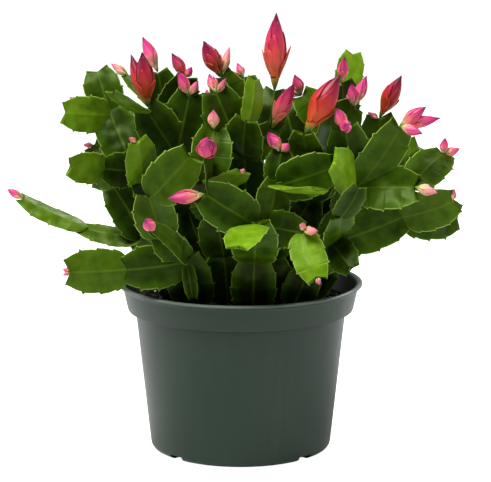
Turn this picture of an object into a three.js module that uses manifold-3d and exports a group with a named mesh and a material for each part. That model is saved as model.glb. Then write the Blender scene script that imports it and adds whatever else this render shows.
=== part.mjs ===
// A christmas cactus in flower bud, growing in a plastic nursery pot.
// Millimetres, +Z up. The pot stands on z = 0 with its axis on Z, and its front faces -Y.
// The plant is a crowd of flat jointed stem segments. A hand-set list of joints places the front
// stems, a seeded rule grows the ones behind, and every segment is turned until it is clear of
// its neighbours. Each stem is one solid, and so is each bunch of buds at a joint.

import * as THREE from 'three';
import { mergeVertices } from 'three/addons/utils/BufferGeometryUtils.js';
import Module from 'manifold-3d';

const wasm = await Module();
wasm.setup();

const vec = (x, y, z) => new THREE.Vector3(x, y, z);
const part = new THREE.Group();

// ---------------------------------------------------------------- solids and meshes

function solidFromGeometry(geometry) {
  const bare = geometry.index ? geometry.clone() : geometry;
  bare.deleteAttribute('normal');
  bare.deleteAttribute('uv');
  const merged = mergeVertices(bare, 1e-4);
  return new wasm.Manifold(new wasm.Mesh({
    numProp: 3,
    vertProperties: Float32Array.from(merged.attributes.position.array),
    triVerts: Uint32Array.from(merged.index.array),
  }));
}

function solidFromFaces(points, faces) {
  return new wasm.Manifold(new wasm.Mesh({
    numProp: 3,
    vertProperties: Float32Array.from(points.flatMap((p) => [p.x, p.y, p.z])),
    triVerts: Uint32Array.from(faces.flat()),
  }));
}

function geometryFromSolid(solid) {
  const mesh = solid.getMesh();
  const geometry = new THREE.BufferGeometry();
  geometry.setAttribute('position', new THREE.BufferAttribute(mesh.vertProperties, 3));
  geometry.setIndex(new THREE.BufferAttribute(mesh.triVerts, 1));
  geometry.computeVertexNormals();
  return geometry;
}

function addMesh(name, geometry, colour, roughness) {
  const material = new THREE.MeshStandardMaterial({ color: colour, roughness, metalness: 0 });
  const mesh = new THREE.Mesh(geometry, material);
  mesh.name = name;
  part.add(mesh);
}

// Joins solids and drops the slivers that the joins leave.
const FUSE_TOLERANCE = 0.2;
const fuse = (solids) => (
  solids.reduce((whole, piece) => whole.add(piece)).asOriginal().simplify(FUSE_TOLERANCE));

// ---------------------------------------------------------------- pot

const POT = {
  height: 114.2,
  rimRadius: 82.5,
  bandTop: 79.5,
  bandFoot: 76.6,
  bandFootHeight: 96.6,
  bodyTop: 71.0,
  bodyFoot: 61.5,
  baseRadius: 57.5,
  wall: 1.4,
  floor: 2.0,
  sides: 32,
};
const NOTCH = { width: 11, height: 3.5, depth: 9, count: 4 };

const POT_OUTSIDE = [
  [0, 0],
  [POT.baseRadius, 0],
  [POT.bodyFoot - 1.0, 1.5],
  [POT.bodyFoot, 4.5],
  [POT.bodyTop, 93.0],
  [POT.bodyTop + 1.6, 95.2],
  [POT.bandFoot - 0.8, 95.6],
  [POT.bandFoot, POT.bandFootHeight],
  [POT.bandTop - 0.1, 109.8],
  [POT.bandTop + 0.9, 111.6],
  [POT.rimRadius, 112.5],
  [POT.rimRadius, POT.height - 0.5],
  [POT.rimRadius - 0.6, POT.height],
];
const POT_INSIDE = [
  [POT.bandTop - 0.3, POT.height],
  [POT.bandTop - POT.wall, 111.4],
  [POT.bandFoot - POT.wall, POT.bandFootHeight + 0.4],
  [POT.bodyTop - POT.wall + 0.6, 95.4],
  [POT.bodyTop - POT.wall, 93.0],
  [POT.bodyFoot - POT.wall, 5.2],
  [POT.baseRadius, POT.floor],
  [0, POT.floor],
];

const toProfile = (rows) => rows.map(([r, z]) => new THREE.Vector2(r, z));

// LatheGeometry turns about Y, so the turned solid is stood up onto Z.
function lathe(rows, sides) {
  const geometry = new THREE.LatheGeometry(toProfile(rows), sides);
  geometry.rotateX(Math.PI / 2);
  return solidFromGeometry(geometry);
}

function notchCutter(angle) {
  const geometry = new THREE.BoxGeometry(2 * NOTCH.depth, NOTCH.width, 2 * NOTCH.height);
  geometry.translate(POT.bodyFoot, 0, 0);
  geometry.rotateZ(angle);
  return solidFromGeometry(geometry);
}

function makePot() {
  let pot = lathe([...POT_OUTSIDE, ...POT_INSIDE], POT.sides);
  for (let i = 0; i < NOTCH.count; i += 1) {
    pot = pot.subtract(notchCutter(((i + 0.5) * 2 * Math.PI) / NOTCH.count));
  }
  addMesh('pot', geometryFromSolid(pot), 0x36463c, 0.45);
}

// ---------------------------------------------------------------- stem joints

// Each row: joint, the joint it grows from, x, y, z, turn of the flat face in degrees, youth 0-1,
// and for a narrow segment its share of the usual width.
// A stem's first joint grows from 'soil', at the root given as x, y.
const STEMS = {
  stem_west: { root: [-40, -17], rows: [
    ['west1', 'soil', -70, -35, 197, 0, 0.25],
    ['west2', 'west1', -88, -58, 200, 10, 0.3],
    ['west3', 'west2', -108, -76, 204, 0, 0.85, 0.92],
    ['west4', 'west1', -96, -18, 209, 30, 0.1],
    ['west5', 'west1', -86, -20, 232, 0, 0.1],
    ['west6', 'west5', -114, -34, 233, 0, 0.75],
    ['west7', 'west5', -94, -12, 257, 0, 0.55, 1.1],
    ['west8', 'west1', -97, -20, 187, 0, 0.6, 0.8],
  ] },
  stem_reach: { root: [-30, -40], rows: [
    ['reach1', 'soil', -35, -58, 141, 0, 0.2],
    ['reach2', 'reach1', -73, -64, 135, 0, 0.3],
    ['reach3', 'reach2', -110, -62, 133, 0, 0.7],
    ['reach4', 'reach1', -54, -92, 166, 60, 0.5, 0.5],
    ['reach5', 'reach1', -66, -42, 152, 20, 0.2],
    ['reach6', 'reach5', -83, -40, 184, 0, 0.15],
    ['reach7', 'reach5', -103, -36, 157, -125, 0.35, 0.6],
    ['reach8', 'reach7', -142, -30, 175, -120, 0.45, 0.6],
    ['reach9', 'reach1', -31, -62, 116, 0, 0.3, 0.5],
    ['apron1', 'reach1', -52, -66, 157, 0, 0.2],
    ['apron2', 'apron1', -65, -62, 193, 55, 0.5],
    ['apron3', 'apron2', -65, -88, 221, 35, 0.95, 0.8],
    ['apron4', 'apron1', -58, -82, 186, 0, 0.3],
    ['apron5', 'apron4', -32, -88, 212, 0, 0.45],
  ] },
  stem_bib: { root: [8, -48], rows: [
    ['bib0', 'soil', 9, -62, 140, 0, 0.1],
    ['bib1', 'bib0', 10, -98, 172, 0, 0.2],
    ['bib2', 'bib1', -21, -106, 191, 0, 0.2],
    ['bib3', 'bib1', -1, -126, 161, 0, 0.95],
  ] },
  stem_chin: { root: [20, -30], rows: [
    ['chin1', 'soil', 18, -66, 166, 0, 0.2],
    ['chin2', 'chin1', 40, -88, 164, 0, 0.35],
    ['chin3', 'chin2', 48, -104, 138, 0, 0.9, 0.88],
    ['chin4', 'chin1', 23, -70, 193, 0, 0.15],
    ['chin5', 'chin4', 47, -98, 194, 70, 0.95],
    ['chin6', 'chin4', 26, -64, 211, 0, 0.1],
    ['chin7', 'chin4', 58, -68, 202, 0, 0.15],
  ] },
  stem_finger: { root: [-8, -28], rows: [
    ['finger1', 'soil', -21, -82, 195, 0, 0.2],
    ['finger2', 'finger1', -22, -98, 214, 75, 0.6],
    ['finger3', 'finger1', 0, -98, 204, 50, 0.85],
    ['finger4', 'finger1', -17, -70, 226, 0, 0.25],
  ] },
  stem_skirt: { root: [34, -42], rows: [
    ['skirt1', 'soil', 62, -58, 153, 0, 0.2],
    ['skirt2', 'skirt1', 107, -40, 166, 0, 0.25],
    ['skirt3', 'skirt2', 137, -56, 178, 10, 0.35],
    ['skirt4', 'skirt2', 143, -18, 161, 0, 0.25],
    ['skirt5', 'skirt1', 62, -82, 173, 40, 0.3],
    ['skirt6', 'skirt5', 74, -86, 192, 30, 0.3],
    ['skirt7', 'skirt1', 71, -80, 139, 0, 0.2],
  ] },
  stem_east: { root: [42, -8], rows: [
    ['east0', 'soil', 60, -18, 146, 0, 0.1],
    ['east1', 'east0', 75, -48, 187, 0, 0.2],
    ['east2', 'east1', 112, -58, 187, 0, 0.3],
    ['east3', 'east2', 132, -36, 205, 0, 0.1],
    ['east4', 'east1', 59, -84, 208, 45, 0.95],
    ['east5', 'east1', 101, -62, 227, 25, 0.35],
    ['east9', 'east1', 67, -66, 226, 0, 0.3],
    ['east6', 'east0', 96, -8, 190, 0, 0.2],
    ['east7', 'east6', 117, -24, 209, 0, 0.8],
    ['east8', 'east6', 91, -26, 228, 0, 0.15],
  ] },
  stem_peak_west: { root: [-18, -10], rows: [
    ['peakw0', 'soil', -34, -20, 165, 0, 0.1],
    ['peakw1', 'peakw0', -42, -40, 208, 0, 0.1],
    ['peakw2', 'peakw1', -60, -48, 237, 0, 0.2],
    ['peakw3', 'peakw2', -80, -70, 251, -50, 0.7, 0.55],
    ['peakw4', 'peakw1', -33, -46, 245, 0, 0.15],
    ['peakw5', 'peakw0', -49, -8, 230, 0, 0.1],
    ['peakw6', 'peakw5', -54, -18, 257, 0, 0.15],
    ['peakw7', 'peakw5', -74, 12, 251, 40, 0.3, 0.6],
    ['peakw8', 'peakw5', -36, -24, 254, 20, 0.2],
  ] },
  stem_peak: { root: [4, -12], rows: [
    ['peak0', 'soil', 3, -24, 172, 0, 0.1],
    ['peak1', 'peak0', 3, -56, 207, 0, 0.15],
    ['peak2', 'peak1', 4, -76, 233, 0, 0.35],
    ['peak3', 'peak2', 8, -64, 257, 40, 0.85, 0.8],
    ['peak4', 'peak1', -15, -58, 248, 0, 0.4],
    ['peak5', 'peak0', 0, -14, 219, 0, 0.1],
    ['peak6', 'peak5', -13, -20, 254, 30, 0.4],
    ['peak8', 'peak5', 2, 12, 250, 10, 0.3],
    ['peak9', 'peak1', 20, -56, 225, 0, 0.2],
    ['peak7', 'peak9', 22, -44, 248, 0, 0.15],
  ] },
  stem_peak_east: { root: [22, 2], rows: [
    ['peake0', 'soil', 46, -12, 172, 0, 0.1],
    ['peake1', 'peake0', 47, -44, 203, 0, 0.1],
    ['peake2', 'peake1', 41, -70, 224, -40, 0.2],
    ['peake4', 'peake1', 58, -36, 234, 60, 0.6],
    ['peake5', 'peake0', 65, -6, 218, 0, 0.1],
    ['peake6', 'peake5', 74, -30, 236, 0, 0.1],
    ['peake7', 'peake5', 75, 12, 266, 0, 0.9, 0.85],
    ['peake8', 'peake5', 41, -4, 240, 20, 0.6],
    ['peake9', 'peake5', 66, -22, 250, 30, 0.3],
    ['peake3', 'peake0', 30, 10, 232, 0, 0.1],
  ] },
};

// Each row: joint it grows from, the way to its tip (dx, dy, dz), girth, and how far off the joint
// it sits where the usual seat would touch it or leave a gap.
const BUDS = [
  ['peakw6', -10, -2, 24, 8.5],
  ['peakw2', -3, -8, 37, 12, 1.2], ['peakw2', -11, 8, 34, 9, 1.2],
  ['west5', -28, 18, 7, 8, 0.7],
  ['peakw7', -13, -4, 7, 6, 0.8],
  ['peakw4', -7, -8, 17, 7], ['peakw4', 6, -8, 11, 5],
  ['peakw8', -9, -4, 17, 7.5, 0.7], ['peakw8', 4, -6, 8, 5, 0.7],
  ['peak6', -11, -6, 25, 10.5],
  ['peak6', 6, 4, 20, 6], ['peak8', -9, -4, 6, 5.5],
  ['peak4', -5, 8, 12, 6.5],
  ['finger4', 0, -6, 14, 7],
  ['finger2', 3, -24, 13, 11],
  ['bib2', -24, -6, -2, 8.5],
  ['reach4', -4, -15, 6, 7.5],
  ['reach8', -11, -2, 7, 6],
  ['peak7', 1, -4, 51, 13.5],
  ['peake8', -5, -4, 15, 7], ['peake8', -13, -4, 5, 5],
  ['peak9', 14, -12, 31, 9.5, 1.2],
  ['peake2', 22.5, 1, 38, 16],
  ['peake9', 2, -8, 19, 7],
  ['peake6', -5, -6, 17, 7.5], ['peake6', 8, -2, 21, 7.5],
  ['east9', -6, -8, 15, 7.5], ['east9', 0, -16, 6, 7],
  ['east8', 14, -6, 29, 10.5],
  ['east5', 17, -6, 14, 8.5],
  ['east5', 27, -2, -2, 7, 1.4], ['east5', 14, -14, -3, 6.5, 1.4],
  ['east3', 1, -3, 12, 6, 0.6], ['east3', 11, -2, 4, 6, 0.6],
  ['east2', 14, -12, -2, 6.5],
  ['chin6', -10, -8, 12, 7.5, 0.8], ['chin6', 5, -6, 6, 5.5, 0.8],
  ['chin2', 9, -12, 2, 5.5, 2.3], ['chin2', 0, -9, 7, 4, 2.3],
];

// ---------------------------------------------------------------- one stem segment

// A segment is a flat lens, thick along its midrib and thin at its toothed margin. A station is
// a share of its length, and an outline point is a share of its half width at a station.
const RIB_STATIONS = [0, 0.3, 0.6, 0.9];
const TIP_STATION = 0.9;
const HORN_STATION = 1.0;
const HORN_SIDE = 0.5;
const MARGIN = [
  [0.13, 0], [0.5, 0.08], [0.87, 0.22], [1.03, 0.47], [0.94, 0.52],
  [0.94, 0.74], [0.79, 0.78], [HORN_SIDE, HORN_STATION], [0.3, 0.945],
];
const SEGMENT = {
  halfThickness: 1.5,
  endHalfThickness: 0.85,
  widthRatio: 0.345,
  minHalfWidth: 9.5,
  maxHalfWidth: 15,
  bow: 0.05,
  cup: 0.8,
  sink: 2.8,
  span: 34,
};

const marginAt = (station) => {
  const last = MARGIN.findIndex(([, v]) => v >= station);
  if (last < 1) return MARGIN[last < 0 ? MARGIN.length - 2 : 0][0];
  const [w0, v0] = MARGIN[last - 1];
  const [w1, v1] = MARGIN[last];
  return w0 + ((w1 - w0) * (station - v0)) / (v1 - v0);
};

// The segment's own axes: along it, across it, and out of its flat face.
function segmentFrame(from, to, facing, turn) {
  const along = to.clone().sub(from).normalize();
  const out = facing.clone().addScaledVector(along, -facing.dot(along)).normalize();
  const across = along.clone().cross(out);
  const angle = (turn * Math.PI) / 180;
  const face = out.multiplyScalar(Math.cos(angle)).addScaledVector(across, Math.sin(angle));
  return { along, face, across: along.clone().cross(face) };
}

// A point of the bent mid-surface, where side runs from -1 to 1 across the half width.
function surfacePoint(segment, station, side, lift = 0) {
  const { from, length, halfWidth, bow, frame } = segment;
  const rise = 4 * bow * station * (1 - station) + SEGMENT.cup * side * side + lift;
  return from.clone()
    .addScaledVector(frame.along, station * length)
    .addScaledVector(frame.across, side * halfWidth)
    .addScaledVector(frame.face, rise);
}

function makeSegment(spec, turn, widthShare) {
  const from = spec.from.clone().addScaledVector(spec.carrierWay, -SEGMENT.sink);
  const frame = segmentFrame(from, spec.to, spec.facing, turn);
  const length = spec.to.distanceTo(from) / TIP_STATION;
  const wanted = THREE.MathUtils.clamp(
    SEGMENT.widthRatio * length, SEGMENT.minHalfWidth, SEGMENT.maxHalfWidth);
  const segment = {
    ...spec, from, frame, length,
    halfWidth: wanted * widthShare * spec.width,
    bow: SEGMENT.bow * length,
    middle: spec.from.clone().lerp(spec.to, 0.5),
  };
  segment.probes = PROBES.map(([station, side]) => ({
    point: surfacePoint(segment, station, side * marginAt(station)),
    half: SEGMENT.halfThickness * (1 - Math.abs(side)),
  }));
  return segment;
}

function segmentSolid(segment) {
  const points = [];
  const ribTop = [];
  const ribUnder = [];
  RIB_STATIONS.forEach((station, i) => {
    const atEnd = i === 0 || i === RIB_STATIONS.length - 1;
    const half = atEnd ? SEGMENT.endHalfThickness : SEGMENT.halfThickness;
    ribTop.push(points.push(surfacePoint(segment, station, 0, half)) - 1);
    ribUnder.push(points.push(surfacePoint(segment, station, 0, -half)) - 1);
  });
  const edge = [-1, 1].map((hand) => MARGIN.map(([side, station]) => (
    points.push(surfacePoint(segment, station, hand * side)) - 1)));
  const faces = [];
  [0, 1].forEach((hand) => {
    const rim = edge[hand];
    [ribTop, ribUnder].forEach((rib, under) => {
      const flip = hand === under;
      const add = (a, b, c) => faces.push(flip ? [a, b, c] : [a, c, b]);
      let i = 0;
      let j = 0;
      while (i < rib.length - 1 || j < rim.length - 1) {
        const ribNext = i < rib.length - 1 ? RIB_STATIONS[i + 1] : Infinity;
        const rimNext = j < rim.length - 1 ? Math.max(MARGIN[j + 1][1], MARGIN[j][1]) : Infinity;
        if (ribNext < rimNext) {
          add(rib[i], rib[i + 1], rim[j]);
          i += 1;
        } else {
          add(rib[i], rim[j + 1], rim[j]);
          j += 1;
        }
      }
    });
    const ends = [[0, 0], [rim.length - 1, ribTop.length - 1]];
    ends.forEach(([atRim, atRib], tip) => {
      const face = [rim[atRim], ribTop[atRib], ribUnder[atRib]];
      faces.push((hand === 1) === (tip === 0) ? face : face.reverse());
    });
  });
  return solidFromFaces(points, faces);
}

// ---------------------------------------------------------------- clearance between pieces

const PROBES = [0.08, 0.2, 0.32, 0.44, 0.56, 0.68, 0.8, 0.92, 1.02].flatMap((station) => (
  [-1, -0.67, -0.33, 0, 0.33, 0.67, 1].map((side) => [station, side])));
const CLEAR = { gap: 0.7, least: 2.4, margin: 0.8 };

// Whether a ball of this half size at this point would foul the segment.
function fouls(segment, point, half, least = CLEAR.least) {
  const away = point.clone().sub(segment.from);
  const station = away.dot(segment.frame.along) / segment.length;
  const slack = (half + CLEAR.margin) / segment.length;
  if (station < -slack || station > HORN_STATION + slack) return false;
  const side = away.dot(segment.frame.across) / segment.halfWidth;
  const margin = marginAt(THREE.MathUtils.clamp(station, 0, HORN_STATION));
  if (Math.abs(side) > margin + (half * 0.6 + CLEAR.margin) / segment.halfWidth) return false;
  const rise = 4 * segment.bow * station * (1 - station) + SEGMENT.cup * side * side;
  const flesh = SEGMENT.halfThickness * Math.max(0, 1 - Math.abs(side) / margin);
  const lift = Math.abs(away.dot(segment.frame.face) - rise);
  return lift < Math.max(least, flesh + half + CLEAR.gap);
}

const linked = (a, b) => a.joints.some((joint) => b.joints.includes(joint));
const near = (a, b) => a.middle.distanceTo(b.middle) < (a.length + b.length) * 0.5 + 16;

function segmentsClash(a, b) {
  if (linked(a, b) || !near(a, b)) return false;
  return a.probes.some((probe) => fouls(b, probe.point, probe.half))
    || b.probes.some((probe) => fouls(a, probe.point, probe.half));
}

function budFoulsSegment(bud, segment) {
  if (segment.joints.includes(bud.joint) || !near(bud, segment)) return false;
  return bud.balls.some((ball) => fouls(segment, ball.point, ball.radius));
}

function budsClash(a, b) {
  if (!near(a, b) || a.joint === b.joint) return false;
  return a.balls.some((one) => b.balls.some((two) => (
    one.point.distanceTo(two.point) < one.radius + two.radius + CLEAR.gap)));
}

// ---------------------------------------------------------------- placing the segments

const SOIL = { top: 100, rise: 1.6, bottomGap: 0.3, wallGap: 0.3 };
const ROOT = { radius: 3.2, hole: 4.3, depth: 12, rise: 6, sides: 6 };
const FRONT = vec(0, -1, 0);
const UP = vec(0, 0, 1);

const segments = [];
const buds = [];
const jointPoint = new Map();
const jointWay = new Map();

const TURNS = [0, 12, -12, 24, -24, 36, -36, 50, -50, 65, -65, 90];
const VISIBLE_TURNS = 7;
const WIDTHS = [1, 0.87, 0.74];
const HIDDEN_WIDTHS = [1, 0.85, 0.7, 0.55];

// The first turn and width at which a segment is clear of all that is already placed.
function clearSegment(spec, turns, widths, ownStemToo) {
  for (const widthShare of widths) {
    for (const turn of turns) {
      const segment = makeSegment(spec, spec.turn + turn, widthShare);
      const blocked = segments.some((other) => (
        (ownStemToo || other.stem !== spec.stem) && segmentsClash(segment, other)))
        || buds.some((bud) => budFoulsSegment(bud, segment));
      if (!blocked) return segment;
    }
  }
  return null;
}

function placeNamed(spec) {
  const turns = spec.hidden ? TURNS : TURNS.slice(0, VISIBLE_TURNS);
  const widths = spec.hidden ? HIDDEN_WIDTHS : WIDTHS;
  const segment = clearSegment(spec, turns, widths, true)
    ?? clearSegment(spec, turns, widths, false);
  segments.push(segment ?? makeSegment(spec, spec.turn, 1));
}

// A long way is shared among segments on a curve that leaves the soil upright.
function spanSpecs(stem, root, row) {
  const [name, parent, x, y, z, turn, youth, width = 1] = row;
  let carrierWay = jointWay.get(parent) ?? UP;
  const start = parent === 'soil' ? vec(root[0], root[1], SOIL.top + ROOT.rise)
    : jointPoint.get(parent);
  const end = vec(x, y, z);
  jointPoint.set(name, end);
  const count = Math.max(1, Math.round(start.distanceTo(end) / SEGMENT.span));
  const knee = parent === 'soil'
    ? vec(start.x + 0.25 * (x - start.x), start.y + 0.25 * (y - start.y), start.z + 0.6 * (z - start.z))
    : start.clone().lerp(end, 0.5);
  const curve = new THREE.QuadraticBezierCurve3(start, knee, end);
  return Array.from({ length: count }, (unused, i) => {
    const from = curve.getPoint(i / count);
    const to = curve.getPoint((i + 1) / count);
    const way = to.clone().sub(from).normalize();
    const alongView = Math.abs(way.dot(FRONT)) > 0.85;
    const spec = {
      stem, from, to, turn, youth, width, carrierWay,
      facing: alongView ? UP : FRONT,
      hidden: parent === 'soil',
      joints: [i === 0 ? (parent === 'soil' ? stem : parent) : `${name} way ${i}`,
        i === count - 1 ? name : `${name} way ${i + 1}`],
    };
    carrierWay = way;
    jointWay.set(name, way);
    return spec;
  });
}

const specs = Object.entries(STEMS).flatMap(([stem, { root, rows }]) => (
  rows.flatMap((row) => spanSpecs(stem, root, row))));
specs.filter((spec) => !spec.hidden).forEach(placeNamed);

// ---------------------------------------------------------------- buds

// Half width of a bud at shares of its length, as a share of its girth.
const BUD_SHAPE = [[0, 0.06], [0.12, 0.2], [0.22, 0.27], [0.34, 0.4], [0.5, 0.5],
  [0.68, 0.45], [0.86, 0.24], [1, 0]];
const BUD = {
  seat: 0.4,
  besideChild: 1.7,
  smallGirth: 6.2,
  largeGirth: 9,
  leans: [0, 0.15, 0.3, 0.45, 0.6, 0.75],
  balls: [0.06, 0.15, 0.3, 0.45, 0.6, 0.75, 0.95],
  freeOfChild: 2,
};

function budHalfWidth(share) {
  const i = BUD_SHAPE.findIndex(([t]) => t >= share);
  if (i < 1) return BUD_SHAPE[0][1];
  const [t0, r0] = BUD_SHAPE[i - 1];
  const [t1, r1] = BUD_SHAPE[i];
  return r0 + ((r1 - r0) * (share - t0)) / (t1 - t0);
}

function makeBud(joint, seat, way, girth) {
  const along = way.clone().normalize();
  const from = seat.clone().addScaledVector(along, BUD.seat);
  const length = way.length() - BUD.seat;
  const helper = Math.abs(along.y) > 0.8 ? UP : FRONT;
  const across = along.clone().cross(helper).normalize();
  return {
    joint, girth, from, along, across, length,
    face: along.clone().cross(across),
    middle: from.clone().addScaledVector(along, length / 2),
    balls: BUD.balls.map((share) => ({
      point: from.clone().addScaledVector(along, share * length),
      radius: girth * budHalfWidth(share),
    })),
  };
}

const KNOB = { radius: 1.3, reach: 1.2 };
const knobPoint = new Map();

// Whether a ball of a bud fouls a segment that meets the bud's own joint. The bud stands in the
// notch at its carrier's tip, so there only the notch's corners count.
function foulsOwn(segment, joint, ball) {
  const { frame, length, from } = segment;
  const station = ball.point.clone().sub(from).dot(frame.along) / length;
  if (segment.joints[1] !== joint || station < TIP_STATION) {
    return fouls(segment, ball.point, ball.radius - CLEAR.gap, 0);
  }
  return MARGIN.slice(-2).some(([side, notch]) => [-1, 1].some((hand) => (
    surfacePoint(segment, notch, hand * side).distanceTo(ball.point) < ball.radius + 0.4)));
}

function budBlocked(bud) {
  const own = segments.filter((segment) => segment.joints.includes(bud.joint));
  return own.some((segment) => {
    const balls = bud.balls.slice(segment.joints[1] === bud.joint ? 0 : BUD.freeOfChild);
    return balls.some((ball) => foulsOwn(segment, bud.joint, ball));
  }) || segments.some((segment) => budFoulsSegment(bud, segment))
    || buds.some((other) => budsClash(bud, other));
}

// A bud leans until it is clear: along its carrier, or off the face of a segment that grows on.
function placeBud(joint, way, girth, ownSeat, mustPlace) {
  const carrier = segments.find((segment) => segment.joints[1] === joint);
  const child = segments.find((segment) => segment.joints[0] === joint);
  const seat = jointPoint.get(joint).clone();
  const leanTo = carrier.frame.along.clone();
  if (child) leanTo.copy(child.frame.face).multiplyScalar(Math.sign(child.frame.face.dot(way)));
  seat.addScaledVector(leanTo, ownSeat ?? (child ? BUD.besideChild : BUD.seat));
  knobPoint.set(joint, seat.clone().addScaledVector(leanTo, KNOB.reach));
  for (const lean of BUD.leans) {
    const leaned = way.clone().normalize().lerp(leanTo, lean).normalize();
    const bud = makeBud(joint, seat, leaned.multiplyScalar(way.length()), girth);
    if (!budBlocked(bud)) {
      buds.push(bud);
      return true;
    }
  }
  if (mustPlace) buds.push(makeBud(joint, seat, way, girth));
  return false;
}

BUDS.forEach(([joint, dx, dy, dz, girth, ownSeat]) => (
  placeBud(joint, vec(dx, dy, dz), girth, ownSeat, true)));
specs.filter((spec) => spec.hidden).forEach(placeNamed);

// A closed spindle around a bud's axis. A row is [share of length, zigzag, lift]: every other
// point drops by the zigzag, so a step between two such rows is a ring of pointed petals.
function spindle(bud, rows, sides) {
  const points = [bud.from.clone(), bud.from.clone().addScaledVector(bud.along, bud.length)];
  rows.forEach(([share, zigzag, lift]) => {
    for (let k = 0; k < sides; k += 1) {
      const place = share - (k % 2) * zigzag;
      const half = bud.girth * budHalfWidth(place) + lift;
      points.push(aroundBud(bud, place, half, (k / sides) * 360));
    }
  });
  const ringAt = (i) => 2 + i * sides;
  const faces = [];
  for (let k = 0; k < sides; k += 1) {
    const next = (k + 1) % sides;
    faces.push([0, ringAt(0) + next, ringAt(0) + k]);
    for (let i = 0; i < rows.length - 1; i += 1) {
      const [a, b] = [ringAt(i) + k, ringAt(i) + next];
      const [c, d] = [ringAt(i + 1) + k, ringAt(i + 1) + next];
      faces.push([a, b, d], [a, d, c]);
    }
    faces.push([1, ringAt(rows.length - 1) + k, ringAt(rows.length - 1) + next]);
  }
  return solidFromFaces(points, faces);
}

function aroundBud(bud, share, half, degrees) {
  const angle = radians(degrees);
  return bud.from.clone()
    .addScaledVector(bud.along, share * bud.length)
    .addScaledVector(bud.across, half * Math.cos(angle))
    .addScaledVector(bud.face, half * Math.sin(angle));
}

// A petal lies on the spindle as a thin boat: its foot is sunk in, its point stands off.
function petal(bud, layer, degrees) {
  const { foot, middle, point, spreadAngle, lift, tipLift } = layer;
  const half = bud.girth * budHalfWidth(middle);
  const points = [
    aroundBud(bud, foot, bud.girth * budHalfWidth(foot) * 0.6, degrees),
    aroundBud(bud, middle, half + 0.1, degrees - spreadAngle),
    aroundBud(bud, point, bud.girth * budHalfWidth(point) + tipLift, degrees),
    aroundBud(bud, middle, half + 0.1, degrees + spreadAngle),
    aroundBud(bud, middle, half + lift, degrees),
    aroundBud(bud, middle, half * 0.55, degrees),
  ];
  const [foot0, left, tip, right, outer, inner] = [0, 1, 2, 3, 4, 5];
  return solidFromFaces(points, [
    [left, foot0, outer], [tip, left, outer], [right, tip, outer], [foot0, right, outer],
    [foot0, left, inner], [left, tip, inner], [tip, right, inner], [right, foot0, inner],
  ]);
}

// Rows of the three sizes of bud: plain, with one ring of petals, and with two.
const BUD_ROWS = {
  small: [[0.1, 0, 0], [0.48, 0, 0], [0.78, 0, 0]],
  middling: [[0.06, 0, 0], [0.24, 0, 0], [0.54, 0.17, 0.45], [0.54, 0.17, -0.2], [0.84, 0, 0]],
  large: [[0.05, 0, 0], [0.2, 0, 0], [0.44, 0.14, 0.6], [0.44, 0.14, -0.2],
    [0.7, 0.18, 0.5], [0.7, 0.18, -0.2], [0.88, 0, 0]],
};
const BUD_SIDES = { small: 5, middling: 6, large: 8 };
const LOOSE_PETAL = { foot: 0.2, middle: 0.42, point: 0.68, spreadAngle: 26, lift: 1.2, tipLift: 2.4 };
const LOOSE_ANGLES = [0, 140];

function budSolid(bud) {
  const size = bud.girth < BUD.smallGirth ? 'small'
    : bud.girth > BUD.largeGirth ? 'large' : 'middling';
  const core = spindle(bud, BUD_ROWS[size], BUD_SIDES[size]);
  if (size !== 'large') return core;
  return fuse([core, ...LOOSE_ANGLES.map((degrees) => petal(bud, LOOSE_PETAL, degrees))]);
}

// ---------------------------------------------------------------- stems grown by rule

const GROWTH = {
  seed: 3,
  tries: 30,
  most: 130,
  roots: [
    ['stem_rear_1', -44, 14], ['stem_rear_2', -26, 34], ['stem_rear_3', 2, 44],
    ['stem_rear_4', 30, 34], ['stem_rear_5', 48, 14], ['stem_rear_6', -10, 14],
    ['stem_rear_7', 18, 22],
  ],
  length: [34, 11],
  climb: [84, 72, 58, 44, 24],
  climbSpread: 24,
  swing: [60, 80, 110, 130, 140],
  children: [2, 2, 2, 1, 0],
  turnSpread: 100,
  crown: { x: 122, y: 108, z: 112, middle: 140 },
  flare: { foot: 60, slope: 0.36 },
  overRim: { from: 62, to: 96, height: 128 },
  buds: { most: 7, lowest: 205, aside: 55, length: [16, 10], girth: [6.4, 1.6], lean: 0.8 },
};

function seeded(seed) {
  let state = seed;
  return () => {
    state = (Math.imul(state, 1664525) + 1013904223) >>> 0;
    return state / 4294967296;
  };
}

const random = seeded(GROWTH.seed);
const spread = (width) => (random() - 0.5) * width;
const radians = (degrees) => (degrees * Math.PI) / 180;

function inCrown(point) {
  const { x, y, z, middle } = GROWTH.crown;
  const around = Math.hypot(point.x, point.y);
  const { from, to, height } = GROWTH.overRim;
  if (around > from && around < to && point.z < height) return false;
  if (Math.abs(point.x) > GROWTH.flare.foot + GROWTH.flare.slope * (point.z - SOIL.top)) return false;
  return (point.x / x) ** 2 + (point.y / y) ** 2 + ((point.z - middle) / z) ** 2 < 1;
}

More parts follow.
